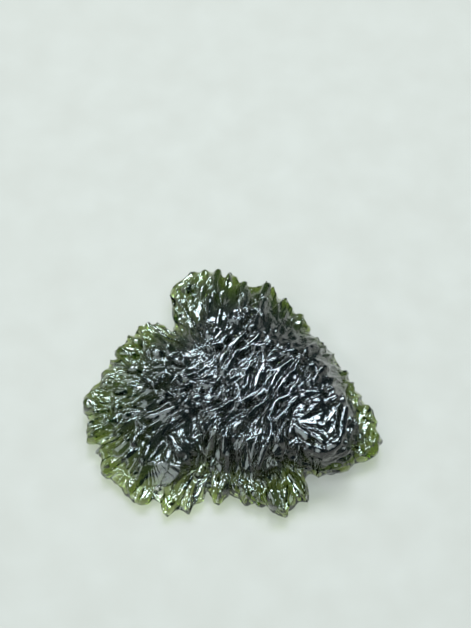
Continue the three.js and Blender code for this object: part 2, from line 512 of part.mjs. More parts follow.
// How far the troughs and crests move a point of the smooth form along its normal. They fade towards
// the rim, whose own outline has the scallops, and are missing from the chip's face.
function relief(point, { turn, fraction, above }) {
  let cup = 1;
  for (const { place, along, length, width } of SEEDS) {
    const dx = point.x - place.x;
    const dy = point.y - place.y;
    const dz = point.z - place.z;
    const run = dx * along.x + dy * along.y + dz * along.z;
    const square = (dx * dx + dy * dy + dz * dz - run * run) / width ** 2 + run * run / length ** 2;
    if (square < cup) cup = square;
  }
  let crest = 0;
  let depth = TROUGH_DEPTH;
  if (above) {
    depth *= 1 - calmShare(point.x, point.y);
    for (const { ax, ay, dx, dy } of CREST_PIECES) {
      const t = clamp01(((point.x - ax) * dx + (point.y - ay) * dy) / (dx * dx + dy * dy));
      const gap = Math.hypot(point.x - ax - t * dx, point.y - ay - t * dy);
      crest = Math.max(crest, 1 - (gap / CREST_WIDTH) ** 2);
    }
  }
  const kept = above ? 1 - chipShare(point.x, point.y, bearingOf(turn, fraction)) : 1;
  const fade = 1 - RIM_FADE * THREE.MathUtils.smoothstep(fraction, RIM_FADE_START, 1);
  return kept * fade * (CREST_HEIGHT * crest - depth * (1 - cup) * (1 - crest));
}

// One side of the coarse form, a pyramid on a base of as many corners as there are spokes, with each
// face divided into rings of small ones. Its corners come back as plain points.
function dividedSide(rings, above) {
  const corners = [0, 0, above ? 1 : -1];
  const faces = [];
  for (let i = 0; i < SPOKES; i++) {
    const angle = 2 * Math.PI * i / SPOKES;
    corners.push(Math.cos(angle), Math.sin(angle), 0);
    const here = 1 + i;
    const next = 1 + (i + 1) % SPOKES;
    if (above) faces.push(0, here, next);
    else faces.push(0, next, here);
  }
  const geometry = new THREE.PolyhedronGeometry(corners, faces, 1, rings - 1);
  const points = geometry.attributes.position;
  return Array.from({ length: points.count }, (_, i) => new THREE.Vector3().fromBufferAttribute(points, i));
}

// Point of the rim halfway between two neighbours, measured along the straight base of their face
function rimMiddle(b, c) {
  const sector = 2 * Math.PI / SPOKES;
  const angle = Math.atan2(b.y + c.y, b.x + c.x);
  const facing = (Math.floor(angle / sector) + 0.5) * sector;
  const outward = new THREE.Vector3(Math.cos(facing), Math.sin(facing), 0);
  const onBase = (point) => point.clone().divideScalar(point.dot(outward));
  return onBase(b).add(onBase(c)).normalize();
}

// Both sides joined. The upper side has twice as many points round the rim, so each face of the under
// side that has an edge on the rim is split in two at that edge's middle.
function dividedForm() {
  const onRim = (point) => Math.abs(point.z) < ROUNDING;
  const points = dividedSide(RINGS_ABOVE, true);
  const below = dividedSide(RINGS_BELOW, false);
  for (let i = 0; i < below.length; i += 3) {
    const face = below.slice(i, i + 3);
    const inner = face.findIndex((point) => !onRim(point));
    if (face.filter(onRim).length < 2) {
      points.push(...face);
      continue;
    }
    const [a, b, c] = [0, 1, 2].map((k) => face[(inner + k) % 3]);
    const middle = rimMiddle(b, c);
    points.push(a, b, middle, a, middle, c);
  }
  return mergeVertices(new THREE.BufferGeometry().setFromPoints(points), 10 * ROUNDING);
}

// Place on the map of a direction from the middle of the coarse form
function mapPlace(x, y, z) {
  const sector = 2 * Math.PI / SPOKES;
  let angle = Math.atan2(y, x);
  if (angle < -ROUNDING) angle += 2 * Math.PI;
  const spoke = Math.floor(angle / sector + ROUNDING);
  const rest = Math.max(0, angle - spoke * sector);
  const far = Math.sin(rest);
  const near = Math.max(0, Math.sin(sector - rest));
  const reach = Math.hypot(x, y) * (near + far) / Math.sin(sector);
  return {
    turn: (spoke + far / (near + far)) / SPOKES % 1,
    fraction: reach / (reach + Math.abs(z)),
    above: z > -ROUNDING,
  };
}

// The whole surface. What the bowl has below the ground is pressed flat onto it.
function stoneGeometry() {
  const geometry = dividedForm();
  const points = geometry.attributes.position;
  const places = [];
  for (let i = 0; i < points.count; i++) {
    const place = mapPlace(points.getX(i), points.getY(i), points.getZ(i));
    const point = mapPoint(place.turn, place.fraction, place.above);
    places.push(place);
    points.setXYZ(i, point.x, point.y, point.z);
  }
  geometry.computeVertexNormals();
  const normals = geometry.attributes.normal;
  const point = new THREE.Vector3();
  const normal = new THREE.Vector3();
  for (let i = 0; i < points.count; i++) {
    point.fromBufferAttribute(points, i);
    normal.fromBufferAttribute(normals, i);
    point.addScaledVector(normal, relief(point, places[i]));
    points.setXYZ(i, point.x - MIDDLE[0], point.y - MIDDLE[1], Math.max(0, point.z));
  }
  geometry.deleteAttribute('normal');
  return geometry;
}

const moldavite = new THREE.Mesh(stoneGeometry(), STONE);
moldavite.name = 'moldavite';

const part = new THREE.Group();
part.add(moldavite);

export default part;
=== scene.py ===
"""A moldavite, one piece of natural green glass, lying on a plain pale table.

The stone's finished surface is worked out on a flat map. Every point has a turn round the stone and a
fraction of the way from the middle to the rim, on the upper or the under side. The map gives the
smooth form, and the crests, troughs and pits that etching left are laid on it along its normals.
Plan places and depths are in millimetres, as the stone is measured, and become metres in the mesh.
"""

from __future__ import annotations

import logging
import math
from dataclasses import dataclass, field
from enum import Enum

import bpy
import numpy as np
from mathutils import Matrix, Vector


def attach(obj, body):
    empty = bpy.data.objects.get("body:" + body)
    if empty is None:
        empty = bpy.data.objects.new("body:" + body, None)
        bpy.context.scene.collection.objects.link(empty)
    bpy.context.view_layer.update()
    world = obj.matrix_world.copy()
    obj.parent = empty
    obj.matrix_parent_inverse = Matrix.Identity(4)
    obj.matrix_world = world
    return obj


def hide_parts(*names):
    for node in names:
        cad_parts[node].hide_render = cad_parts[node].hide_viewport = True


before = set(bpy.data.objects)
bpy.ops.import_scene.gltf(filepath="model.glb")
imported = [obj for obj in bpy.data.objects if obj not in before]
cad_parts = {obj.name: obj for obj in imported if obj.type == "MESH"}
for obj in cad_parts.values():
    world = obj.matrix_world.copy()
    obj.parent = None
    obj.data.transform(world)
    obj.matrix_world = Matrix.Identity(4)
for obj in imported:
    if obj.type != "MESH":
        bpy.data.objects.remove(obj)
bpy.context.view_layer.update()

LOG = logging.getLogger("moldavite")
MM = 0.001
FULL_TURN = 2 * math.pi
GOLDEN_TURN = (3 - math.sqrt(5)) / 2  # share of a turn between neighbouring seeds
SCATTER = (12.9898, 78.233, 43758.5453)  # pace of an index and of a draw in a sine, and its swing
LEAST_LENGTH = 1e-12
LEAST_WEIGHT = 1e-9

Rows = tuple[tuple[float, ...], ...]
Plan = tuple[float, float]
Colour = tuple[float, float, float]
Array = np.ndarray

# Rim seen from above, counterclockwise from the right-hand tip
OUTLINE: Rows = (
    (11.85, -4.75), (11.65, -4.3), (11.5, -3.85), (11.6, -3.5), (11.15, -2.4), (10.85, -1.95),
    (10.6, -1.6), (10.1, -0.7), (9.92, -0.4), (9.85, 0.05), (9.58, 0.25), (9.4, 0.75), (9.2, 1.1),
    (8.8, 1.5), (8.65, 1.9), (8.4, 2.5), (8, 3.05), (7.65, 3.2), (7.4, 3.7), (7.25, 4),
    (6.95, 4.05), (6.8, 4.4), (6.2, 4.7), (6.37, 5), (6.3, 5.35), (5.9, 6.1), (5.7, 6.4),
    (5.3, 6.5), (5.05, 6.8), (4.85, 7.25), (4.4, 7.87), (4.1, 7.85), (3.8, 8.1), (3.45, 8.8),
    (3.2, 9), (2.85, 9.2), (2.55, 9.2), (2.4, 9), (2.05, 8.87), (1.7, 9), (1.3, 9.05), (1.1, 9.35),
    (0.65, 9.4), (0.45, 9.8), (0, 10.1), (-0.4, 10.2), (-0.72, 10.1), (-0.9, 10.27), (-1.7, 10.5),
    (-2.4, 10.5), (-3.05, 10.4), (-3.5, 10.15), (-4.25, 9.7), (-4.6, 9.25), (-5, 8.7), (-5.1, 8.3),
    (-4.75, 7.5), (-5, 7.1), (-4.85, 6.5), (-4.8, 5.9), (-4.75, 5.1), (-4.88, 4.85), (-5.1, 4.95),
    (-5.8, 5.5), (-6.1, 5.7), (-6.3, 5.58), (-6.6, 5.48), (-6.85, 5.68), (-7.1, 5.6), (-7.5, 5.3),
    (-7.85, 4.95), (-7.9, 4.65), (-7.95, 4.27), (-8.2, 4.3), (-8.4, 4.4), (-8.6, 3.9), (-8.85, 3.5),
    (-9.4, 2.95), (-9.32, 2.55), (-9.15, 2.2), (-9.4, 2.05), (-9.8, 2.1), (-9.95, 1.85),
    (-10.05, 1.3), (-10.4, 1), (-10.65, 0.4), (-10.67, 0.05), (-11, -0.2), (-11.4, -0.8),
    (-11.8, -1.6), (-11.87, -2.05), (-11.6, -2.4), (-11.43, -2.65), (-11.4, -2.95), (-11.1, -3.3),
    (-11.45, -3.6), (-11.55, -3.85), (-11.5, -4.5), (-11.45, -5.03), (-11, -5.05), (-10.5, -5.1),
    (-10.3, -5.25), (-10.4, -5.5), (-10.8, -5.98), (-10.45, -6), (-10.2, -6.2), (-10.1, -6.5),
    (-10.2, -6.9), (-10.3, -7.3), (-10.2, -7.6), (-9.85, -7.9), (-9.25, -8.13), (-8.93, -8.4),
    (-8.7, -8.67), (-8.47, -8.73), (-8.48, -9.05), (-8.3, -9.3), (-7.9, -9.6), (-7.75, -9.85),
    (-7.25, -10.1), (-6.9, -10.2), (-6.5, -10.1), (-6.17, -9.73), (-5.83, -9.93), (-5.6, -10.1),
    (-5.4, -10.1), (-5.35, -10.55), (-5.2, -10.95), (-5, -11.1), (-4.65, -10.9), (-4.4, -10.6),
    (-4, -10.55), (-3.6, -10.8), (-3.25, -11), (-3.07, -10.5), (-2.95, -10.2), (-2.45, -10.05),
    (-2.15, -9.8), (-2, -9.35), (-1.9, -9.03), (-1.7, -9.3), (-1.5, -9.55), (-1.4, -10),
    (-1.15, -10.17), (-0.95, -10.2), (-0.55, -9.75), (-0.3, -9.25), (-0.15, -9.08), (0.05, -9.45),
    (0.3, -9.6), (0.7, -9.75), (0.9, -10.1), (1.3, -10.15), (1.75, -10.2), (2, -10.35),
    (2.4, -10.35), (2.65, -10.2), (2.9, -10.25), (3.05, -10.5), (3.2, -10.8), (3.55, -11.1),
    (4, -11.25), (4.35, -11.2), (4.4, -10.87), (4.6, -10.57), (4.88, -10.35), (5.1, -10.05),
    (5.5, -9.92), (5.88, -9.95), (6, -9.7), (5.92, -8.9), (5.88, -8.1), (6.05, -7.8), (6.3, -7.65),
    (6.55, -7.8), (6.75, -7.95), (7, -7.8), (7.4, -7.67), (8.1, -7.62), (8.55, -7.55), (9.1, -7.35),
    (9.4, -7), (9.65, -6.72), (10, -6.6), (10.5, -6.55), (10.8, -6.4), (11.2, -6.15), (11.5, -5.85),
    (11.6, -5.25), (11.83, -4.95),
)

# How the rim rises to the body, by bearing in degrees from the hub: height of the rim's edge, how
# far its rounding reaches in, width of the thin flange, rise over the flange, width of the slope
RIM: Rows = (
    (12, 1.2, 0.6, 0.4, 1.3, 2.4), (28, 1.2, 0.6, 0.2, 1.4, 3.4), (46, 1.2, 0.6, 0.2, 1.4, 3.8),
    (64, 1.2, 0.6, 0.2, 1.4, 4), (84, 1.2, 0.6, 0.3, 1.3, 4.2), (105, 1.2, 0.7, 0.6, 1.3, 4.8),
    (120, 1.2, 0.7, 0.6, 1.2, 4), (130, 1.2, 0.6, 0.3, 1.1, 2.8), (139, 1.2, 0.7, 0.9, 0.9, 2.8),
    (152, 1.2, 0.7, 0.4, 1.1, 3), (168, 1.2, 0.7, 0.3, 1.2, 3), (184, 1.2, 0.7, 0.3, 1.3, 2.6),
    (198, 1, 0.7, 0.5, 1.2, 2.2), (210, 0.8, 0.7, 1, 1, 2), (222, 0.7, 0.7, 0.9, 0.9, 1.3),
    (230, 0.7, 0.6, 0.9, 0.6, 0.9), (238, 0.7, 0.6, 1, 0.6, 0.9), (244, 0.7, 0.7, 2, 0.6, 1.4),
    (252, 0.7, 0.7, 2, 0.6, 1.8), (266, 0.7, 0.8, 1.1, 1.3, 2),
    (280, 0.7, 0.8, 1.3, 1.4, 2), (294, 0.7, 0.8, 1.9, 1.2, 1.6), (303, 0.7, 0.7, 1.8, 1.2, 1.3),
    (308, 0.8, 0.6, 0.7, 1.2, 1), (314, 0.9, 0.5, 0.1, 2.2, 0.8), (328, 0.9, 0.5, 0.1, 2.2, 0.9),
    (333, 0.9, 0.6, 0.8, 1.1, 1.2), (342, 1, 0.7, 1.6, 1, 1.3), (355, 1.2, 0.7, 1, 1.1, 1.7),
)

# Height of the body away from the rim, at plan places: x, y, height
BODY: Rows = (
    (0, 0, 4.9), (3, 0, 5.3), (6, 0, 5.2), (4, -3.2, 5.5), (7.5, -2.4, 5.4), (9, -4, 4.9),
    (9, -6.5, 4.6), (6, -7, 4.7), (3.5, -6.5, 4.7), (0.5, -6.5, 4.4), (-2, -6, 4.2),
    (-4.5, -5.5, 3.9), (-7, -5.5, 2.9), (-9, -5, 2.4), (-4, -8, 2.8), (-6.5, -8, 2.2),
    (0, -3.5, 4.8), (-3, -1.5, 4.5), (-6, -2, 3.3), (-7.8, -2.6, 2.1), (-9.8, -3, 2.3),
    (-9.5, -0.5, 2.4), (-7, 0.5, 3.2), (-4, 1.5, 3.9), (-7.5, 3, 2.4), (-5, 3.5, 3.2),
    (-2, 2.5, 4.3), (1, 2.5, 5), (4, 2.5, 4.9), (6.5, 2, 4.5), (8.2, 0, 4.5), (0, 4.5, 4.4),
    (-2.5, 5.5, 3.4), (2.5, 5, 4.1), (4.8, 4.5, 3.9), (-3.5, 8, 2.7), (-1, 7.5, 3.4), (1.5, 7, 3.6),
    (3.2, 7, 3.5),
)

# Crests left standing between the troughs, seen from above as runs of x, y
CRESTS: Rows = (
    (-0.7, -0.55, -0.5, -0.35, 0, 0.2, 0.2, 0.8), (0.95, -1.65, 1.35, -1.4),
    (0.7, -2.45, 1.15, -2, 1.3, -1.6),
    (0.6, -3.4, 1, -3.3, 1.55, -3, 1.8, -2.6, 1.9, -2.1, 1.95, -1.5, 2.2, -0.9, 2.4, -0.5, 2.5,
     0.1, 2.4, 0.7),
    (-2.1, -4.15, -1.8, -4.1, -1.45, -4.03, -1.05, -3.9, -0.55, -3.6, -0.25, -3.45, 0.1, -3.25,
     0.4, -3.1, 0.55, -2.8), (-2.2, -5.15, -1.85, -4.95, -1.55, -4.7, -1.3, -4.55, -1.05, -4.25),
    (-1.15, -5.6, -1, -5.3, -0.85, -4.9, -0.9, -4.65),
    (-2.55, -7.8, -2.35, -7.35, -2.2, -7.1, -1.95, -6.7, -1.7, -6.3, -1.5, -5.8, -1.35, -5.4),
    (-0.6, -7, -0.55, -6.5, -0.5, -6.05, -0.35, -5.7, 0, -5.25, 0.3, -4.9, 0.65, -4.75, 1.1, -4.6,
     1.55, -4.3, 1.9, -3.95, 2.3, -3.7, 2.65, -3.4), (0.3, -5.35, 0.7, -5.15),
    (-3.3, -3.75, -3, -3.5, -2.6, -3.35), (-3.45, -3.2, -3.15, -3, -2.85, -2.85, -2.6, -2.6),
    (-3, -2.35, -2.75, -2.3, -2.55, -2.1), (-4.05, -2.8, -3.85, -2.7, -3.7, -2.5),
    (-7.15, -3.95, -6.85, -3.7, -6.4, -3.6, -5.9, -3.6, -5.4, -3.5, -5, -3.35, -4.7, -3.3,
     -4.35, -3.2, -4.2, -2.95),
    (-8.3, -3.3, -7.8, -3.2, -7.3, -3.25, -6.8, -3.15, -6.55, -3.05, -6.3, -2.85, -5.85, -2.5,
     -5.55, -2.4, -5.25, -2.25, -4.9, -1.95),
    (-4.1, -1.1, -3.85, -0.9, -3.55, -0.85, -3.3, -0.75),
    (-4, -1.85, -3.8, -1.75, -3.4, -1.55, -3.15, -1.35), (-4.15, -4.15, -3.85, -4.05, -3.55, -3.85),
    (-2.1, -3.1, -1.95, -2.8, -1.75, -2.6, -1.55, -2.3), (-1.9, -3.35, -1.75, -3.1, -1.65, -2.85),
    (-1, -2.75, -0.75, -2.35), (-0.5, -2.6, -0.25, -2.2), (-2.55, -1.75, -2.05, -1.7, -1.4, -1.7),
    (-0.25, -1.55, 0.05, -1.4, 0.3, -1.25, 0.7, -1.05), (0.3, -2.5, 0.4, -2.3, 0.4, -2),
    (0.8, -0.65, 1.1, -0.7, 1.35, -0.55),
    (2.8, -2.65, 3, -2.3, 3.2, -1.9, 3.35, -1.5, 3.6, -1.1, 3.75, -0.65, 4.15, -0.35, 4.5, 0, 4.85,
     0.25, 5.35, 0.45),
    (3.6, -2.5, 3.87, -2.1, 4.05, -1.8, 4.3, -1.45, 4.5, -1.1, 4.88, -0.85, 5, -0.35, 5.2, 0),
    (4.4, -2.85, 4.6, -2.55, 4.9, -2.35),
    (5.35, -3.15, 5.6, -3, 5.9, -2.75, 6.2, -2.7, 6.55, -2.75, 6.9, -2.5),
    (2.95, -4.35, 3.1, -4.05, 3.3, -3.7, 3.55, -3.4, 4, -3.3, 4.4, -3.1),
    (2.1, -8, 2.25, -7.6, 2.45, -7.2, 2.7, -6.8, 2.9, -6.4, 3, -5.95, 3.05, -5.45, 3, -5, 2.95,
     -4.6), (3.5, -4.9, 3.75, -4.7, 4.1, -4.45, 4.3, -4.15, 4.4, -3.85, 4.7, -3.5, 5, -3.25),
    (4.5, -5.95, 4.6, -5.6), (4.6, -5.3, 4.8, -5.5, 5.25, -5.75, 5.55, -6, 5.8, -6.2),
    (6.35, -6.15, 6.65, -6.4, 6.9, -6.65),
    (5.65, -7.1, 6.35, -7.15, 7, -7.3, 7.65, -7.05, 8.1, -6.75, 8.4, -5.95, 8.45, -5.3, 8.6, -4.5,
     8.65, -4.1), (6.1, -3.55, 6.5, -3.5, 6.8, -3.3), (6, -4.15, 6.3, -4),
    (7.45, -3.3, 7.75, -3.3, 8, -3.1), (6.6, -0.95, 6.85, -0.7, 7.2, -0.4),
    (6, -1.8, 6.3, -1.75, 6.5, -1.4), (5.3, -2.3, 5.6, -1.75),
    (5.8, 1.1, 5.95, 1.5, 6.3, 1.8, 6.5, 2), (4.15, 0.95, 4.35, 1.3, 4.45, 1.7),
    (4.55, 0.95, 4.9, 1.15), (3, 0, 3.25, 0.2, 3.5, 0.3, 3.55, 0.65),
    (1.2, 1.55, 1.5, 1.7, 1.65, 1.95), (1.85, 1.5, 2.15, 1.6, 2.35, 1.8),
    (2.55, 1.55, 2.8, 1.7, 3.05, 1.95), (2.4, -0.95, 2.65, -0.6, 2.9, -0.45),
    (3.15, -1, 3.55, -0.8), (2.05, -3, 2.3, -2.75, 2.5, -2.55), (6, -0.35, 6.4, -0.2),
    (-9.6, -3.8, -9.4, -3.75, -9.05, -3.6, -8.75, -3.3),
    (-8.85, -4.6, -8.45, -4.4, -8.15, -4.15, -7.9, -3.95, -7.6, -3.75),
    (-9.05, -2.75, -8.9, -2.5),
    (-10.6, -2.85, -10.2, -2.85, -9.9, -2.8), (-8.95, -1.15, -8.35, -1.15),
    (-6.65, 2.1, -6.45, 2.15, -6.1, 2, -5.75, 1.95),
    (-5.95, 3.85, -5.55, 3.15, -5.3, 2.75, -5.05, 2.35), (-7.7, 3.4, -7.35, 3.25, -7, 3),
    (-9, 2.55, -8.5, 2.35, -7.9, 2.05), (-8.05, 0.75, -7.55, 0.6),
    (-6.85, -0.35, -6.5, -0.6, -6.1, -0.85, -5.75, -0.7, -5.4, -0.4),
    (-4.65, 1.15, -4.35, 0.95, -3.75, 0.7), (-10.05, -0.55, -9.35, -0.6),
    (-11.4, -2.3, -11.1, -2.4, -10.7, -2.45),
    (-7.5, -5.65, -7.4, -5.35, -7.1, -5.1, -6.95, -4.75, -6.75, -4.6),
    (-9.3, -5.95, -8.85, -6.05, -8.45, -5.85, -8.15, -5.6, -8, -5.4),
    (-6.85, -7.1, -6.65, -6.9, -6.5, -6.6, -6.4, -6.3, -6.2, -5.95, -6, -5.75, -5.7, -5.45, -5.25,
     -5.05, -4.95, -4.9, -4.7, -4.65, -4.5, -4.3),
    (-4.65, -5.7, -4.4, -6.15, -4.2, -6.65, -4.05, -6.95, -3.75, -6.8, -3.5, -6.45, -3.4, -6.15),
    (-3.1, -7.4, -2.8, -7.2, -2.65, -6.8), (-0.35, -9.2, -0.35, -8.6, -0.3, -8, -0.25, -7),
    (3.5, -6.3, 3.65, -6.75, 3.6, -7.25), (3.2, -10.4, 3.1, -10.1, 2.95, -9.7),
    (-3.75, 8.1, -3.35, 8.25, -2.95, 8.25), (-2.45, 7.5, -2.4, 8),
    (-1.4, 7.4, -1.35, 8, -1.35, 8.6, -1.2, 9.2, -1.15, 9.7),
    (-1.85, 4.55, -1.75, 4.9, -1.75, 5.6, -1.8, 6.2, -1.75, 6.8), (0.8, 7.2, 0.88, 7.95, 0.97, 8.5),
    (1.1, 5.6, 1.15, 6.25, 1.2, 6.85, 1.2, 7.6), (2.4, 4.8, 2.45, 5.5, 2.5, 6.1, 2.65, 6.6),
    (2.4, 7, 2.65, 7.6, 2.8, 8.2), (-0.2, 1.5, 0.2, 1.85, 0.5, 2.15, 0.75, 2.4, 0.95, 2.6),
    (1.3, 1.55, 1.55, 1.85, 1.85, 2.2, 2.05, 2.55, 2.2, 2.85), (0.4, 0.95, 0.75, 1.1, 1.1, 1.2),
    (1.2, 4.95, 1.5, 5.2, 1.85, 5.3, 2.15, 5.35),
    (1, 4.8, 0.75, 5.2, 0.35, 5.25, 0.05, 4.9, 0.1, 4.45, 0.5, 4.25, 0.9, 4.4, 1, 4.8),
    (1.55, 3.4, 1.8, 3.6, 1.95, 3.9, 2.05, 4.6),
    (-2.5, 4.3, -2.2, 3.9, -1.95, 3.55, -1.9, 3.25), (-1.8, 1.7, -1.3, 1.85, -0.9, 2, -0.5, 2.5),
    (-0.8, 0.4, -0.65, 0.85),
)


class Side(Enum):
    """The two sides of the stone."""

    UPPER = "upper"
    UNDER = "under"


def clamp01(values: Array) -> Array:
    """Values held between 0 and 1."""
    return np.clip(values, 0.0, 1.0)


def smoothstep(values: Array, start: float, end: float) -> Array:
    """Share that rises smoothly from 0 at start to 1 at end.

    Args:
        values: Where to read it.
        start: Value with a share of 0.
        end: Value with a share of 1.

    Returns:
        The share of each value.
    """
    t = clamp01((values - start) / (end - start))
    return t * t * (3 - 2 * t)


def roll_share(inward: Array, rounding: Array) -> Array:
    """Round-over of the rim, 0 at its edge and 1 further in than the rounding."""
    return np.sqrt(1 - (1 - clamp01(inward / rounding)) ** 2)


def scatter(index: Array, draw: int) -> Array:
    """Numbers spread evenly from 0 to 1 that look random and are the same each run.

    Args:
        index: Whole numbers, one for each value wanted.
        draw: Number of the draw, so that one index can have several values.

    Returns:
        A number from 0 to 1 for each index.
    """
    index_pace, draw_pace, swing = SCATTER
    values = np.sin(index * index_pace + draw * draw_pace) * swing
    return values - np.floor(values)


def unit(vectors: Array) -> Array:
    """Vectors at length 1."""
    return vectors / np.maximum(np.linalg.norm(vectors, axis=1, keepdims=True), LEAST_LENGTH)


def vertex_normals(points: Array, faces: Array) -> Array:
    """Normals of a mesh's points, weighted by the area of the faces around them.

    Args:
        points: Places, one row each.
        faces: Triangles as rows of three point numbers.

    Returns:
        A normal of length 1 for each point.
    """
    a, b, c = (points[faces[:, k]] for k in range(3))
    crossed = np.cross(b - a, c - a)
    normals = np.zeros_like(points)
    for k in range(3):
        for axis in range(3):
            normals[:, axis] += np.bincount(faces[:, k], crossed[:, axis], len(points))
    return unit(normals)


def put(name: str, data: bpy.types.ID) -> bpy.types.Object:
    """Adds an object with this data to the scene.

    Args:
        name: Its name.
        data: Its mesh, light or camera.

    Returns:
        The object.
    """
    made = bpy.data.objects.new(name, data)
    bpy.context.scene.collection.objects.link(made)
    return made


class Neighbours:
    """Points sorted along X, so that those near a place are found quickly."""

    def __init__(self, points: Array) -> None:
        """Sorts the points.

        Args:
            points: Places, one row each.
        """
        self.points = points
        self.order = np.argsort(points[:, 0])
        self.sorted_x = points[self.order, 0]

    def near(self, x: tuple[float, float], y: tuple[float, float]) -> Array:
        """Numbers of the points inside a plan box.

        Args:
            x: Lowest and highest X of the box.
            y: Lowest and highest Y of the box.

        Returns:
            The numbers of the points.
        """
        low, high = np.searchsorted(self.sorted_x, x)
        found = self.order[low:high]
        across = self.points[found, 1]
        return found[(across > y[0]) & (across < y[1])]


@dataclass(frozen=True)
class Outline:
    """The scalloped rim seen from above."""

    hub: Plan = (0.0, -1.0)
    corners: Rows = OUTLINE
    scallop_spread: int = 5
    scallop_swing: float = 0.35
    corner_pull: int = 6

    def __post_init__(self) -> None:
        """Works out the corners' places and bearings from the hub."""
        points = np.array(self.corners) - np.array(self.hub)
        bearings = np.arctan2(points[:, 1], points[:, 0])
        start = bearings[0]
        bearings = start + (bearings - start) % FULL_TURN
        object.__setattr__(self, "points", points)
        object.__setattr__(self, "bearings", bearings)
        object.__setattr__(self, "start", start)

    def radius(self, bearing: Array) -> Array:
        """Distance from the hub to the rim.

        Args:
            bearing: Bearings in radians.

        Returns:
            A distance for each bearing.
        """
        b = self.start + (bearing - self.start) % FULL_TURN
        low = np.searchsorted(self.bearings, b, side="right") - 1
        p = self.points[low]
        edge = self.points[(low + 1) % len(self.points)] - p
        crossed = p[:, 0] * edge[:, 1] - p[:, 1] * edge[:, 0]
        return crossed / (np.cos(b) * edge[:, 1] - np.sin(b) * edge[:, 0])

    def scallop(self, bearing: Array) -> Array:
        """How far the rim stands out from its even run.

        Args:
            bearing: Bearings in radians.

        Returns:
            1 on a scallop, -1 in a notch and between them elsewhere, for each bearing.
        """
        spread = range(-self.scallop_spread, self.scallop_spread + 1)
        even = sum(self.radius(bearing + math.radians(k)) for k in spread) / len(spread)
        return np.clip((self.radius(bearing) - even) / self.scallop_swing, -1, 1)

    def distance(self, x: Array, y: Array) -> Array:
        """Distance of plan places from the nearest piece of the rim.

        Args:
            x: Places along X.
            y: Places along Y.

        Returns:
            A distance for each place.
        """
        best = np.full(len(x), np.inf)
        ahead = np.roll(self.points, -1, axis=0)
        for p, q in zip(self.points, ahead):
            ex, ey = q - p
            px = x - self.hub[0] - p[0]
            py = y - self.hub[1] - p[1]
            t = clamp01((px * ex + py * ey) / (ex * ex + ey * ey))
            best = np.minimum(best, (px - t * ex) ** 2 + (py - t * ey) ** 2)
        return np.sqrt(best)

    def bearing(self, turn: Array, fraction: Array, around: int) -> Array:
        """Bearing of places on the map, pulled near the rim to its corners, which stay sharp.

        Args:
            turn: Share of the way round.
            fraction: Share of the way from the middle to the rim.
            around: How many points the rim has.

        Returns:
            A bearing in radians for each place.
        """
        even = self.start + FULL_TURN * turn
        nearest = np.full(len(even), np.inf)
        for corner in self.bearings:
            gap = (corner - even + 3 * math.pi) % FULL_TURN - math.pi
            nearest = np.where(np.abs(gap) < np.abs(nearest), gap, nearest)
        pulled = np.abs(nearest) < math.pi / around
        return even + np.where(pulled, nearest, 0.0) * fraction**self.corner_pull


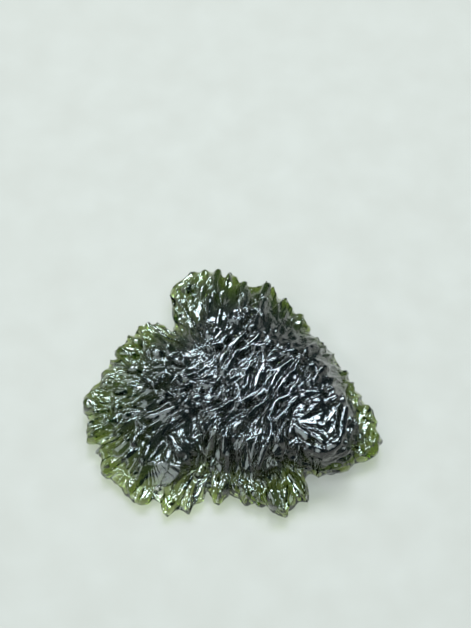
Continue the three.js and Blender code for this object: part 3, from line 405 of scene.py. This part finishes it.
@dataclass(frozen=True)
class Form:
    """The smooth form under the etching: body, rim, shallow bowl below and the scar of a chip."""

    outline: Outline = field(default_factory=Outline)
    rim: Rows = RIM
    body: Rows = BODY
    body_reach: float = 1.7
    flat_centre: Plan = (0.6, -1.6)
    bowl_depth: float = 0.32
    bowl_curve: float = 0.009
    under_rise: float = 0.35
    under_slope: float = 4.0
    rib_height: float = 0.32
    rib_reach: float = 2.6
    rib_fade: float = 1.5
    rib_below: float = 0.4
    chip_foot: tuple[float, float, float] = (-6.4, -8.85, 1.3)
    chip_climb: float = 0.95
    chip_bend: float = 1.2
    chip_side: float = 0.15
    chip_edge: float = 0.12
    bearing_steps: int = 240
    radius_steps: int = 160
    share_steps: int = 64

    def __post_init__(self) -> None:
        """Works out the radii that divide each spoke evenly along the surface."""
        object.__setattr__(self, "shares", {side: self._spoke_shares(side) for side in Side})

    def _rim_row(self, bearing: Array) -> Array:
        """Rim's measures, read between the rows of its table.

        Args:
            bearing: Bearings in radians.

        Returns:
            A column for each bearing: edge height, rounding, flange width, rise and slope width.
        """
        table = np.array(self.rim)
        degrees = np.degrees(bearing) % 360
        columns = table.T[1:]
        return np.array([np.interp(degrees, table[:, 0], column, period=360) for column in columns])

    def _body_height(self, x: Array, y: Array) -> Array:
        """Height of the body away from the rim.

        Args:
            x: Places along X.
            y: Places along Y.

        Returns:
            A height for each place.
        """
        total = np.zeros(len(x))
        weight = np.zeros(len(x))
        for px, py, height in self.body:
            w = np.exp(-((x - px) ** 2 + (y - py) ** 2) / (2 * self.body_reach**2)) + LEAST_WEIGHT
            total += w * height
            weight += w
        return total / weight

    def _chip_height(self, x: Array, y: Array) -> Array:
        """Height of the shell-shaped scar of a chip.

        Args:
            x: Places along X.
            y: Places along Y.

        Returns:
            A height for each place.
        """
        cx, cy, cz = self.chip_foot
        climb = self.chip_climb * np.maximum(0, y - cy) ** self.chip_bend
        return cz + climb + self.chip_side * (x - cx) ** 2

    def _rib_height(self, bearing: Array, inward: Array) -> Array:
        """Rise of the ribs, which carry the outline's scallops in over the rim."""
        fade = (1 - clamp01(inward / self.rib_reach)) ** self.rib_fade
        return self.rib_height * self.outline.scallop(bearing) * fade

    def _unchipped_height(self, x: Array, y: Array, bearing: Array) -> Array:
        """Height of the upper side before the chip.

        Args:
            x: Places along X.
            y: Places along Y.
            bearing: Bearings of the places from the hub.

        Returns:
            A height for each place.
        """
        inward = self.outline.distance(x, y)
        edge, rounding, flange, rise, slope = self._rim_row(bearing)
        climb = np.sin(clamp01((inward - flange) / slope) * math.pi / 2)
        rim = (rise + self._rib_height(bearing, inward)) * roll_share(inward, rounding)
        return edge + rim + (self._body_height(x, y) - edge - rise) * climb

    def chip_share(self, x: Array, y: Array, bearing: Array) -> Array:
        """Share of the etching that the chip took away.

        Args:
            x: Places along X.
            y: Places along Y.
            bearing: Bearings of the places from the hub.

        Returns:
            A share for each place.
        """
        cut = self._unchipped_height(x, y, bearing) - self._chip_height(x, y)
        return np.where(y < self.chip_foot[1], 0.0, smoothstep(cut, 0, self.chip_edge))

    def _height(self, x: Array, y: Array, bearing: Array, side: Side) -> Array:
        """Height of one side of the smooth form.

        Args:
            x: Places along X.
            y: Places along Y.
            bearing: Bearings of the places from the hub.
            side: Upper or under side.

        Returns:
            A height for each place.
        """
        if side is Side.UPPER:
            return np.minimum(self._unchipped_height(x, y, bearing), self._chip_height(x, y))
        inward = self.outline.distance(x, y)
        edge, rounding = self._rim_row(bearing)[:2]
        fall = self.under_rise + self.rib_below * self._rib_height(bearing, inward)
        cx, cy = self.flat_centre
        bowl = self.bowl_curve * ((x - cx) ** 2 + (y - cy) ** 2) - self.bowl_depth
        climb = np.sin(clamp01(inward / self.under_slope) * math.pi / 2)
        return edge - fall * roll_share(inward, rounding) + (bowl - edge + self.under_rise) * climb

    def point(self, bearing: Array, radius: Array, side: Side) -> Array:
        """Places on the smooth form.

        Args:
            bearing: Bearings from the hub in radians.
            radius: Distances from the hub.
            side: Upper or under side.

        Returns:
            A place for each bearing and distance.
        """
        x = self.outline.hub[0] + radius * np.cos(bearing)
        y = self.outline.hub[1] + radius * np.sin(bearing)
        return np.stack([x, y, self._height(x, y, bearing, side)], axis=1)

    def _spoke_shares(self, side: Side) -> Array:
        """Radii that divide each spoke evenly along the surface.

        Args:
            side: Upper or under side.

        Returns:
            A row for each spoke, of shares of the rim's radius.
        """
        bearings = FULL_TURN * np.arange(self.bearing_steps) / self.bearing_steps
        steps = np.arange(self.radius_steps + 1) / self.radius_steps
        rims = self.outline.radius(bearings)
        places = self.point(np.repeat(bearings, len(steps)), np.outer(rims, steps).ravel(), side)
        places = places.reshape(len(bearings), len(steps), 3)
        hops = np.linalg.norm(np.diff(places, axis=1), axis=2)
        runs = np.concatenate([np.zeros((len(bearings), 1)), np.cumsum(hops, axis=1)], axis=1)
        even = np.arange(self.share_steps + 1) / self.share_steps
        return np.array([np.interp(even * run[-1], run, steps) for run in runs])

    def on_map(self, turn: Array, fraction: Array, side: Side, around: int) -> Array:
        """Places on the smooth form of places on the map.

        Args:
            turn: Share of the way round.
            fraction: Share of the way from the middle to the rim.
            side: Upper or under side.
            around: How many points the rim has.

        Returns:
            A place for each turn and fraction.
        """
        bearing = self.outline.bearing(turn, fraction, around)
        table = self.shares[side]
        b = (bearing / FULL_TURN * self.bearing_steps) % self.bearing_steps
        b0 = np.floor(b).astype(int)
        s = fraction * self.share_steps
        s0 = np.minimum(np.floor(s).astype(int), self.share_steps - 1)
        here, ahead = b0 % self.bearing_steps, (b0 + 1) % self.bearing_steps
        near = table[here, s0] + (table[here, s0 + 1] - table[here, s0]) * (s - s0)
        far = table[ahead, s0] + (table[ahead, s0 + 1] - table[ahead, s0]) * (s - s0)
        share = near + (far - near) * (b - b0)
        return self.point(bearing, self.outline.radius(bearing) * share, side)


@dataclass(frozen=True)
class Crests:
    """Crests left standing between the troughs, as straight pieces."""

    runs: Rows = CRESTS
    reach: float = 1.3
    outward_pull: float = 0.02
    outward_from: Plan = (0.0, 1.0)

    def __post_init__(self) -> None:
        """Cuts the runs into straight pieces, each a start and a step."""
        pieces = []
        for run in self.runs:
            points = np.array(run).reshape(-1, 2)
            pieces.append(np.hstack([points[:-1], np.diff(points, axis=0)]))
        object.__setattr__(self, "pieces", np.concatenate(pieces))

    def flow(self, x: Array, y: Array, side: Side) -> Array:
        """Direction of the etching: along the crests near a place, and outward where there are none.

        Args:
            x: Places along X.
            y: Places along Y.
            side: Upper or under side.

        Returns:
            A direction in radians for each place.
        """
        outward = 2 * np.arctan2(y - self.outward_from[1], x - self.outward_from[0])
        c = np.cos(outward) * self.outward_pull
        s = np.sin(outward) * self.outward_pull
        if side is Side.UPPER:
            for ax, ay, dx, dy in self.pieces:
                gap = (x - ax - dx / 2) ** 2 + (y - ay - dy / 2) ** 2
                w = np.exp(-gap / (2 * self.reach**2)) * math.hypot(dx, dy)
                twice = 2 * math.atan2(dy, dx)
                c += w * math.cos(twice)
                s += w * math.sin(twice)
        return np.arctan2(s, c) / 2

    def height(self, near: Neighbours, width: float) -> Array:
        """Share of a crest's height at each point.

        Args:
            near: The points.
            width: Half width of a crest at its foot.

        Returns:
            A share for each point, 1 on a crest and 0 beyond its foot.
        """
        share = np.zeros(len(near.points))
        for ax, ay, dx, dy in self.pieces:
            x = (min(ax, ax + dx) - width, max(ax, ax + dx) + width)
            y = (min(ay, ay + dy) - width, max(ay, ay + dy) + width)
            found = near.near(x, y)
            px = near.points[found, 0] - ax
            py = near.points[found, 1] - ay
            t = clamp01((px * dx + py * dy) / (dx * dx + dy * dy))
            gap = np.hypot(px - t * dx, py - t * dy)
            share[found] = np.maximum(share[found], 1 - (gap / width) ** 2)
        return share


@dataclass(frozen=True)
class Hollows:
    """One grade of etched hollows, spread over one side like the seeds of a sunflower."""

    count: int
    length: float
    width: float
    spread: float = 0.7
    turn_spread: float = 0.11
    sizes: tuple[float, float] = (0.75, 1.25)
    first_draw: int = 1
    rim_points: int = 216
    map_step: float = 0.02
    turn_step: float = 0.005

    def seeds(self, form: Form, crests: Crests, side: Side) -> tuple[Array, Array, Array]:
        """Places the hollows.

        Args:
            form: The smooth form they lie on.
            crests: The crests that turn them.
            side: Upper or under side.

        Returns:
            Their places, the ways they run and their sizes, one row each.
        """
        around = self.rim_points
        i = np.arange(self.count)
        step = 1 / math.sqrt(self.count)
        draws = [scatter(i, self.first_draw + k) for k in range(3)]
        fraction = clamp01(np.sqrt((i + 0.5) / self.count) + (draws[0] - 0.5) * self.spread * step)
        stray = (draws[1] - 0.5) * self.turn_spread * step / np.maximum(fraction, step)
        turn = (i * GOLDEN_TURN + stray + 1) % 1
        place = form.on_map(turn, fraction, side, around)
        inner = form.on_map(turn, np.maximum(0, fraction - self.map_step), side, around)
        outer = form.on_map(turn, np.minimum(1, fraction + self.map_step), side, around)
        before = form.on_map((turn + (1 - self.turn_step)) % 1, fraction, side, around)
        after = form.on_map((turn + self.turn_step) % 1, fraction, side, around)
        normal = unit(np.cross(outer - inner, after - before))
        angle = crests.flow(place[:, 0], place[:, 1], side)
        along = np.stack([np.cos(angle), np.sin(angle), np.zeros(self.count)], axis=1)
        along = unit(along - normal * np.sum(along * normal, axis=1, keepdims=True))
        smallest, largest = self.sizes
        return place, along, smallest + (largest - smallest) * draws[2]

    def depth(self, near: Neighbours, seeds: tuple[Array, Array, Array]) -> Array:
        """Share of a hollow's depth at each point.

        Args:
            near: The points.
            seeds: What seeds() gave.

        Returns:
            A share for each point, 1 at the bottom of a hollow and 0 outside them all.
        """
        square = np.ones(len(near.points))
        for place, along, size in zip(*seeds):
            length, width = self.length * size, self.width * size
            reach = max(length, width)
            found = near.near((place[0] - reach, place[0] + reach), (place[1] - reach, place[1] + reach))
            gap = near.points[found] - place
            run = gap @ along
            away = np.einsum("ij,ij->i", gap, gap) - run * run
            square[found] = np.minimum(square[found], away / width**2 + run * run / length**2)
        return 1 - square


@dataclass(frozen=True)
class Etching:
    """Everything that etching left on the smooth form."""

    crests: Crests = field(default_factory=Crests)
    crest_height: float = 0.36
    crest_width: float = 0.48
    calm_patches: Rows = (
        (6.1, -4.8, 3.0, 2.6, 0.65),
        (-1.2, -0.8, 1.2, 0.8, 0.8),
        (0.5, 4.8, 0.9, 1.0, 0.7),
    )
    troughs: dict[Side, Hollows] = field(
        default_factory=lambda: {
            Side.UPPER: Hollows(count=400, length=1.6, width=0.46),
            Side.UNDER: Hollows(count=240, length=1.6, width=0.46),
        }
    )
    trough_depth: float = 0.38
    grains: Hollows = Hollows(count=2600, length=0.8, width=0.19, first_draw=11)
    grain_height: float = 0.085
    pits: Hollows = Hollows(
        count=4200, length=0.28, width=0.1, spread=2.0, turn_spread=0.35, first_draw=21
    )
    pit_depth: float = 0.025
    trough_calm: float = 0.4
    calm_grain: float = 0.8
    calm_pits: float = 2.2
    patch_waves: Rows = ((1.9, 0.7, 0.0), (-0.8, 2.3, 1.3), (1.1, -1.5, 4.0))
    patch_level: float = 0.8
    patch_swing: float = 0.2
    fan_height: float = 2.0
    fan_start: tuple[float, float] = (0.2, 1.2)
    stria_height: float = 0.009
    stria_count: float = 36.0
    ripple_height: float = 0.004
    ripple_count: float = 11.0
    rim_fade: float = 0.5
    rim_fade_start: float = 0.9

    def relief(self, form: Form, points: Array, bearing: Array, fraction: Array, side: Side) -> Array:
        """How far each point of the smooth form moves along its normal.

        Args:
            form: The smooth form.
            points: Places on it.
            bearing: Bearing of each from the hub.
            fraction: Share of the way from the middle to the rim of each.
            side: Upper or under side.

        Returns:
            A move in millimetres for each point.
        """
        near = Neighbours(points)
        cup = self._share(self.troughs[side], form, near, side)
        grain = self._share(self.grains, form, near, side)
        pit = self._share(self.pits, form, near, side)
        x, y = points[:, 0], points[:, 1]
        crest = np.zeros(len(points))
        chip = np.zeros(len(points))
        if side is Side.UPPER:
            crest = self.crests.height(near, self.crest_width)
            chip = form.chip_share(x, y, bearing)
            calm = self._calm(x, y)
            cup = cup * (1 - calm)
            grain = grain * (1 - self.calm_grain * calm)
            pit = pit * (1 + self.calm_pits * calm)
        fade = 1 - self.rim_fade * smoothstep(fraction, self.rim_fade_start, 1)
        large = self.crest_height * crest - self.trough_depth * cup * (1 - crest)
        grain = grain * self._patchiness(x, y) * (1 - self.trough_calm * cup) * (1 - crest)
        etched = fade * large + self.grain_height * grain - self.pit_depth * pit
        return (1 - chip) * etched + chip * self._chip_lines(form, x, y)

    def _calm(self, x: Array, y: Array) -> Array:
        """Share of the troughs' depth that is missing in the calm patches of the upper side.

        Args:
            x: Places along X.
            y: Places along Y.

        Returns:
            A share for each place.
        """
        calm = np.zeros(len(x))
        for cx, cy, half_length, half_width, share in self.calm_patches:
            square = ((x - cx) / half_length) ** 2 + ((y - cy) / half_width) ** 2
            calm = np.maximum(calm, share * smoothstep(1 - square, 0, 1))
        return calm

    def _patchiness(self, x: Array, y: Array) -> Array:
        """Share of the grain's height, which comes and goes over a few millimetres."""
        waves = sum(np.sin(across * x + along * y + phase) for across, along, phase in self.patch_waves)
        return self.patch_level + self.patch_swing * waves

    def _chip_lines(self, form: Form, x: Array, y: Array) -> Array:
        """Fan of fine striae and rings of ripples on the chip's face, from a place above its foot.

        Args:
            form: The smooth form, which knows where the chip is.
            x: Places along X.
            y: Places along Y.

        Returns:
            A move in millimetres for each place.
        """
        dx, dy = x - form.chip_foot[0], form.chip_foot[1] + self.fan_height - y
        striae = np.sin(self.stria_count * np.arctan2(dx, dy)) * smoothstep(dy, *self.fan_start)
        ripples = np.sin(self.ripple_count * np.hypot(dx, dy))
        return self.stria_height * striae + self.ripple_height * ripples

    def _share(self, hollows: Hollows, form: Form, near: Neighbours, side: Side) -> Array:
        """Share of the depth of one grade of hollows at each point."""
        return hollows.depth(near, hollows.seeds(form, self.crests, side))


class NodeTree:
    """A material's or group's nodes, made and joined in short lines."""

    def __init__(self, tree: bpy.types.NodeTree) -> None:
        """Empties the tree.

        Args:
            tree: The tree to fill.
        """
        self.tree = tree
        tree.nodes.clear()

    def add(self, kind: str, inputs: dict | None = None, **settings: object) -> bpy.types.Node:
        """Adds a node.

        Args:
            kind: Its type.
            inputs: Values or output sockets by input name or number.
            settings: Properties of the node.

        Returns:
            The node.
        """
        node = self.tree.nodes.new(kind)
        for name, value in settings.items():
            setattr(node, name, value)
        for name, value in (inputs or {}).items():
            if isinstance(value, bpy.types.NodeSocket):
                self.tree.links.new(value, node.inputs[name])
            else:
                node.inputs[name].default_value = value
        return node

    def math(self, operation: str, *values: object) -> bpy.types.NodeSocket:
        """Adds a Math node.

        Args:
            operation: What it works out.
            values: Numbers or output sockets.

        Returns:
            Its output.
        """
        inputs = dict(enumerate(values))
        return self.add("ShaderNodeMath", inputs, operation=operation).outputs[0]

    def spread(self, mask: bpy.types.NodeSocket, low: float, high: float) -> bpy.types.NodeSocket:
        """Value that runs from low to high as the mask runs from 0 to 1."""
        inputs = {"Value": mask, "To Min": low, "To Max": high}
        return self.add("ShaderNodeMapRange", inputs).outputs["Result"]


class MicroReliefGroup:
    """Shared node group: fine pits and grain, as a height and a mask."""

    NAME = "micro_relief"

    @classmethod
    def get(cls) -> bpy.types.NodeTree:
        """The group, built when first asked for."""
        made = bpy.data.node_groups.get(cls.NAME)
        return made or cls._build()

    @classmethod
    def _build(cls) -> bpy.types.NodeTree:
        """Builds the group.

        Returns:
            The group.
        """
        group = bpy.data.node_groups.new(cls.NAME, "ShaderNodeTree")
        sockets = group.interface
        sockets.new_socket("Vector", in_out="INPUT", socket_type="NodeSocketVector")
        for name in ("Pit Scale", "Grain Scale", "Grain Share"):
            sockets.new_socket(name, in_out="INPUT", socket_type="NodeSocketFloat")
        for name in ("Height", "Mask"):
            sockets.new_socket(name, in_out="OUTPUT", socket_type="NodeSocketFloat")
        nodes = NodeTree(group)
        given = nodes.add("NodeGroupInput").outputs
        pits = nodes.add(
            "ShaderNodeTexVoronoi",
            {"Vector": given["Vector"], "Scale": given["Pit Scale"]},
            feature="SMOOTH_F1",
        ).outputs["Distance"]
        grain = nodes.add(
            "ShaderNodeTexNoise",
            {"Vector": given["Vector"], "Scale": given["Grain Scale"], "Detail": 3.0},
        ).outputs["Fac"]
        shared = nodes.math("MULTIPLY", grain, given["Grain Share"])
        height = nodes.math("ADD", pits, shared)
        nodes.add("NodeGroupOutput", {"Height": height, "Mask": grain})
        return group

    @classmethod
    def place(cls, nodes: NodeTree, pit_scale: float, grain_scale: float, share: float) -> bpy.types.Node:
        """Places the group in a material, on the object's own coordinates.

        Args:
            nodes: The material's nodes.
            pit_scale: How many pits there are to a metre.
            grain_scale: How many grains there are to a metre.
            share: Height of the grain against that of the pits.

        Returns:
            The group's node.
        """
        place = nodes.add("ShaderNodeTexCoord").outputs["Object"]
        inputs = {"Vector": place, "Pit Scale": pit_scale, "Grain Scale": grain_scale, "Grain Share": share}
        return nodes.add("ShaderNodeGroup", inputs, node_tree=cls.get())


@dataclass(frozen=True)
class EtchedGlass:
    """Natural green glass: plain see-through body with absorption, and a finely etched skin."""

    name: str = "etched_green_glass"
    tint: Colour = (0.95, 0.98, 0.93)
    ior: float = 1.49
    absorbed: Colour = (1390.0, 1180.0, 2900.0)
    density: float = 3100.0
    pit_scale: float = 4500.0
    grain_scale: float = 9000.0
    grain_share: float = 0.5
    bump_strength: float = 0.3
    bump_distance: float = 0.00003
    smooth_roughness: float = 0.04
    rough_roughness: float = 0.16
    coat_weight: float = 1.0
    coat_roughness: float = 0.03
    coat_ior: float = 1.5

    def build(self) -> bpy.types.Material:
        """Makes the material.

        Returns:
            The material.
        """
        material = bpy.data.materials.new(self.name)
        material.use_nodes = True
        nodes = NodeTree(material.node_tree)
        micro = MicroReliefGroup.place(nodes, self.pit_scale, self.grain_scale, self.grain_share)
        roughness = nodes.spread(micro.outputs["Mask"], self.smooth_roughness, self.rough_roughness)
        normal = nodes.add(
            "ShaderNodeBump",
            {
                "Height": micro.outputs["Height"],
                "Strength": self.bump_strength,
                "Distance": self.bump_distance,
            },
        ).outputs["Normal"]
        glass = nodes.add(
            "ShaderNodeBsdfPrincipled",
            {
                "Base Color": (*self.tint, 1.0),
                "Metallic": 0.0,
                "Roughness": roughness,
                "IOR": self.ior,
                "Transmission Weight": 1.0,
                "Coat Weight": self.coat_weight,
                "Coat Roughness": self.coat_roughness,
                "Coat IOR": self.coat_ior,
                "Normal": normal,
            },
        ).outputs["BSDF"]
        clear = nodes.add("ShaderNodeBsdfTransparent", {"Color": (*self.tint, 1.0)}).outputs["BSDF"]
        shadow = nodes.add("ShaderNodeLightPath").outputs["Is Shadow Ray"]
        surface = nodes.add("ShaderNodeMixShader", {0: shadow, 1: glass, 2: clear}).outputs["Shader"]
        body_colour = tuple(1 - share / self.density for share in self.absorbed)
        body = nodes.add(
            "ShaderNodeVolumeAbsorption", {"Color": (*body_colour, 1.0), "Density": self.density}
        ).outputs["Volume"]
        nodes.add("ShaderNodeOutputMaterial", {"Surface": surface, "Volume": body})
        return material


@dataclass(frozen=True)
class PaleTable:
    """Plain pale matt surface under the stone."""

    name: str = "pale_table"
    colour: Colour = (0.119, 0.1015, 0.0845)
    glow: float = 0.305
    glow_colour: Colour = (0.9, 1.0, 0.96)
    pit_scale: float = 900.0
    grain_scale: float = 300.0
    grain_share: float = 1.0
    smooth_roughness: float = 0.55
    rough_roughness: float = 0.75
    half_size: float = 1.5
    drop: float = 0.00002

    def build(self) -> bpy.types.Object:
        """Makes the surface.

        Returns:
            The surface's object.
        """
        mesh = bpy.data.meshes.new(self.name)
        h = self.half_size
        corners = [(-h, -h, -self.drop), (h, -h, -self.drop), (h, h, -self.drop), (-h, h, -self.drop)]
        mesh.from_pydata(corners, [], [(0, 1, 2, 3)])
        table = put(self.name, mesh)
        mesh.materials.append(self._finish())
        return table

    def _finish(self) -> bpy.types.Material:
        """Matt off-white with a faint even glow, and a grain that shows only in its roughness.

        Returns:
            The material.
        """
        material = bpy.data.materials.new(self.name)
        material.use_nodes = True
        nodes = NodeTree(material.node_tree)
        micro = MicroReliefGroup.place(nodes, self.pit_scale, self.grain_scale, self.grain_share)
        roughness = nodes.spread(micro.outputs["Mask"], self.smooth_roughness, self.rough_roughness)
        matt = nodes.add(
            "ShaderNodeBsdfPrincipled",
            {
                "Base Color": (*self.colour, 1.0),
                "Roughness": roughness,
                "Metallic": 0.0,
                "Emission Color": (*self.glow_colour, 1.0),
                "Emission Strength": self.glow,
            },
        ).outputs["BSDF"]
        nodes.add("ShaderNodeOutputMaterial", {"Surface": matt})
        return material


@dataclass
class Moldavite:
    """The stone, as one closed mesh that stands for its solid and is finer."""

    form: Form = field(default_factory=Form)
    etching: Etching = field(default_factory=Etching)
    finish: EtchedGlass = EtchedGlass()
    spokes: int = 6
    rings_under: int = 80
    middle: Plan = (-0.0365, -0.3345)
    node: str = "moldavite"
    piece: str = "etched_stone"

    def build(self) -> bpy.types.Object:
        """Makes the stone and hangs it in the place of its solid.

        Returns:
            The stone's object.
        """
        points, faces = self._surface()
        mesh = bpy.data.meshes.new(self.piece)
        mesh.from_pydata((points * MM).tolist(), [], faces.tolist())
        mesh.polygons.foreach_set("use_smooth", [True] * len(mesh.polygons))
        mesh.materials.append(self.finish.build())
        stone = put(self.piece, mesh)
        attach(stone, "root")
        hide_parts(self.node)
        return stone

    def _surface(self) -> tuple[Array, Array]:
        """Works out the stone's surface.

        Returns:
            Its points in millimetres and its triangles.
        """
        rings_upper = 2 * self.rings_under
        around = self.spokes * rings_upper
        turn_up, fraction_up, faces_up = self._grid(rings_upper)
        turn_down, fraction_down, faces_down = self._grid(self.rings_under)
        inner = len(turn_down) - self.spokes * self.rings_under
        turn_down, fraction_down = turn_down[:inner], fraction_down[:inner]
        first_rim = len(turn_up) - around
        faces_down = self._join_rim(faces_down, inner, len(turn_up), first_rim, around)
        upper = self.form.on_map(turn_up, fraction_up, Side.UPPER, around)
        under = self.form.on_map(turn_down, fraction_down, Side.UNDER, around)
        points = np.concatenate([upper, under])
        faces = np.concatenate([faces_up, faces_down])
        normals = vertex_normals(points, faces)
        bearing_up = self.form.outline.bearing(turn_up, fraction_up, around)
        bearing_down = self.form.outline.bearing(turn_down, fraction_down, around)
        move = np.concatenate([
            self.etching.relief(self.form, upper, bearing_up, fraction_up, Side.UPPER),
            self.etching.relief(self.form, under, bearing_down, fraction_down, Side.UNDER),
        ])
        points = points + normals * move[:, None]
        points[:, 0] -= self.middle[0]
        points[:, 1] -= self.middle[1]
        points[:, 2] = np.maximum(0, points[:, 2])
        return points, faces

    def _grid(self, rings: int) -> tuple[Array, Array, Array]:
        """One side of the map, as rings of points joined by triangles that turn counterclockwise.

        Args:
            rings: How many rings there are round the middle point.

        Returns:
            The turn and fraction of each point, and the triangles.
        """
        turns, fractions, faces = [np.zeros(1)], [np.zeros(1)], []
        for r in range(1, rings + 1):
            count = self.spokes * r
            turns.append(np.arange(count) / count)
            fractions.append(np.full(count, r / rings))
            inside = 1 + self.spokes * (r - 1) * (r - 2) // 2 if r > 1 else 0
            outside = 1 + self.spokes * r * (r - 1) // 2
            inside_count = max(1, self.spokes * (r - 1))
            spoke, j = (v.ravel() for v in np.meshgrid(np.arange(self.spokes), np.arange(r), indexing="ij"))
            a = inside + (spoke * (r - 1) + j) % inside_count
            b = outside + (spoke * r + j) % count
            c = outside + (spoke * r + j + 1) % count
            faces.append(np.stack([a, b, c], axis=1))
            between = j < r - 1
            d = inside + (spoke * (r - 1) + j + 1) % inside_count
            faces.append(np.stack([a, c, d], axis=1)[between])
        return np.concatenate(turns), np.concatenate(fractions), np.concatenate(faces)

    def _join_rim(self, faces: Array, inner: int, shift: int, first_rim: int, around: int) -> Array:
        """The under side's triangles, turned to face down and joined to the upper side's rim.

        Args:
            faces: Triangles of the under side's own grid.
            inner: How many points it has inside the rim.
            shift: Number of its first point in the whole stone.
            first_rim: Number of the upper side's first rim point.
            around: How many points the upper side's rim has, twice as many as the under side's.

        Returns:
            The triangles in the numbers of the whole stone.
        """
        faces = faces[:, ::-1]
        on_rim = faces >= inner
        whole = np.where(on_rim, first_rim + 2 * (faces - inner), faces + shift)
        edged = on_rim.sum(axis=1) == 2
        plain = whole[~edged]
        split = whole[edged]
        apex = np.argmin(on_rim[edged], axis=1)
        rows = np.arange(len(split))
        a, b, c = (split[rows, (apex + k) % 3] for k in range(3))
        middle = first_rim + (c - first_rim + 1) % around
        halves = [np.stack([a, b, middle], axis=1), np.stack([a, middle, c], axis=1)]
        return np.concatenate([plain, *halves])


@dataclass(frozen=True)
class Softbox:
    """A soft studio light, aimed at the stone."""

    name: str
    azimuth: float
    elevation: float
    size: float
    radiance: float
    distance: float = 0.4
    colour: Colour = (1.0, 1.0, 1.0)

    def build(self) -> bpy.types.Object:
        """Makes the light.

        Returns:
            The light's object.
        """
        light = bpy.data.lights.new(self.name, "AREA")
        light.shape = "SQUARE"
        light.size = self.size
        light.color = self.colour
        light.energy = self.radiance * math.pi * self.size**2
        lamp = put(self.name, light)
        azimuth, elevation = math.radians(self.azimuth), math.radians(self.elevation)
        level = math.cos(elevation)
        way = Vector((level * math.sin(azimuth), -level * math.cos(azimuth), math.sin(elevation)))
        lamp.location = way * self.distance
        lamp.rotation_euler = way.to_track_quat("Z", "Y").to_euler()
        return lamp


@dataclass(frozen=True)
class Studio:
    """Plain soft light: a cool even sky and a few softboxes. Azimuth 0 is on the camera's side."""

    sky_colour: Colour = (0.62, 0.86, 1.0)
    sky_strength: float = 0.14
    boxes: tuple[Softbox, ...] = (
        Softbox("back_key", 180, 60, 0.13, 40.0, colour=(0.78, 0.93, 1.0)),
        Softbox("overhead", 180, 85, 0.08, 38.0, colour=(0.7, 0.9, 1.0)),
        Softbox("left", -80, 50, 0.09, 32.0, colour=(0.8, 0.94, 1.0)),
        Softbox("right", 70, 60, 0.07, 32.0, colour=(0.75, 0.92, 1.0)),
        Softbox("front_left", -40, 30, 0.36, 2.8, colour=(0.88, 1.0, 0.98)),
        Softbox("back_left", -140, 50, 0.08, 36.0, colour=(0.8, 0.94, 1.0)),
        Softbox("back_right", 145, 50, 0.08, 36.0, colour=(0.8, 0.94, 1.0)),
    )
    bounces: int = 24
    glass_bounces: int = 20
    clear_bounces: int = 32

    def build(self) -> None:
        """Makes the sky and the softboxes, and sets how far light is followed through the glass."""
        world = bpy.data.worlds.new("soft_sky")
        bpy.context.scene.world = world
        world.use_nodes = True
        nodes = NodeTree(world.node_tree)
        sky = nodes.add(
            "ShaderNodeBackground", {"Color": (*self.sky_colour, 1.0), "Strength": self.sky_strength}
        ).outputs["Background"]
        nodes.add("ShaderNodeOutputWorld", {"Surface": sky})
        for box in self.boxes:
            box.build()
        scene = bpy.context.scene
        scene.view_settings.view_transform = "Standard"
        scene.cycles.caustics_refractive = False
        scene.cycles.max_bounces = self.bounces
        scene.cycles.transmission_bounces = self.glass_bounces
        scene.cycles.transparent_max_bounces = self.clear_bounces


@dataclass(frozen=True)
class PhotoCamera:
    """Camera at the photograph's viewing angle."""

    elevation: float = 60.0
    distance: float = 0.145
    lens: float = 100.0
    sensor: float = 36.0
    nearest: float = 0.005
    target: tuple[float, float, float] = (0.000335, 0.008085, -0.0008)

    def build(self) -> bpy.types.Object:
        """Makes the camera and gives it to the scene.

        Returns:
            The camera's object.
        """
        lens = bpy.data.cameras.new("photo_camera")
        lens.lens = self.lens
        lens.sensor_width = self.sensor
        lens.clip_start = self.nearest
        camera = put("photo_camera", lens)
        tilt = math.radians(self.elevation)
        back = Vector((0.0, -math.cos(tilt), math.sin(tilt))) * self.distance
        camera.location = Vector(self.target) + back
        camera.rotation_euler = (math.pi / 2 - tilt, 0.0, 0.0)
        bpy.context.scene.camera = camera
        return camera


def main() -> None:
    """Builds the scene in order."""
    logging.basicConfig(level=logging.INFO, format="%(name)s: %(message)s")
    camera = PhotoCamera().build()
    LOG.info("camera %s", camera.name)
    Studio().build()
    LOG.info("studio lights")
    table = PaleTable().build()
    LOG.info("table %s", table.name)
    stone = Moldavite().build()
    LOG.info("stone %s, %d triangles", stone.name, len(stone.data.polygons))


if __name__ == "__main__":
    main()
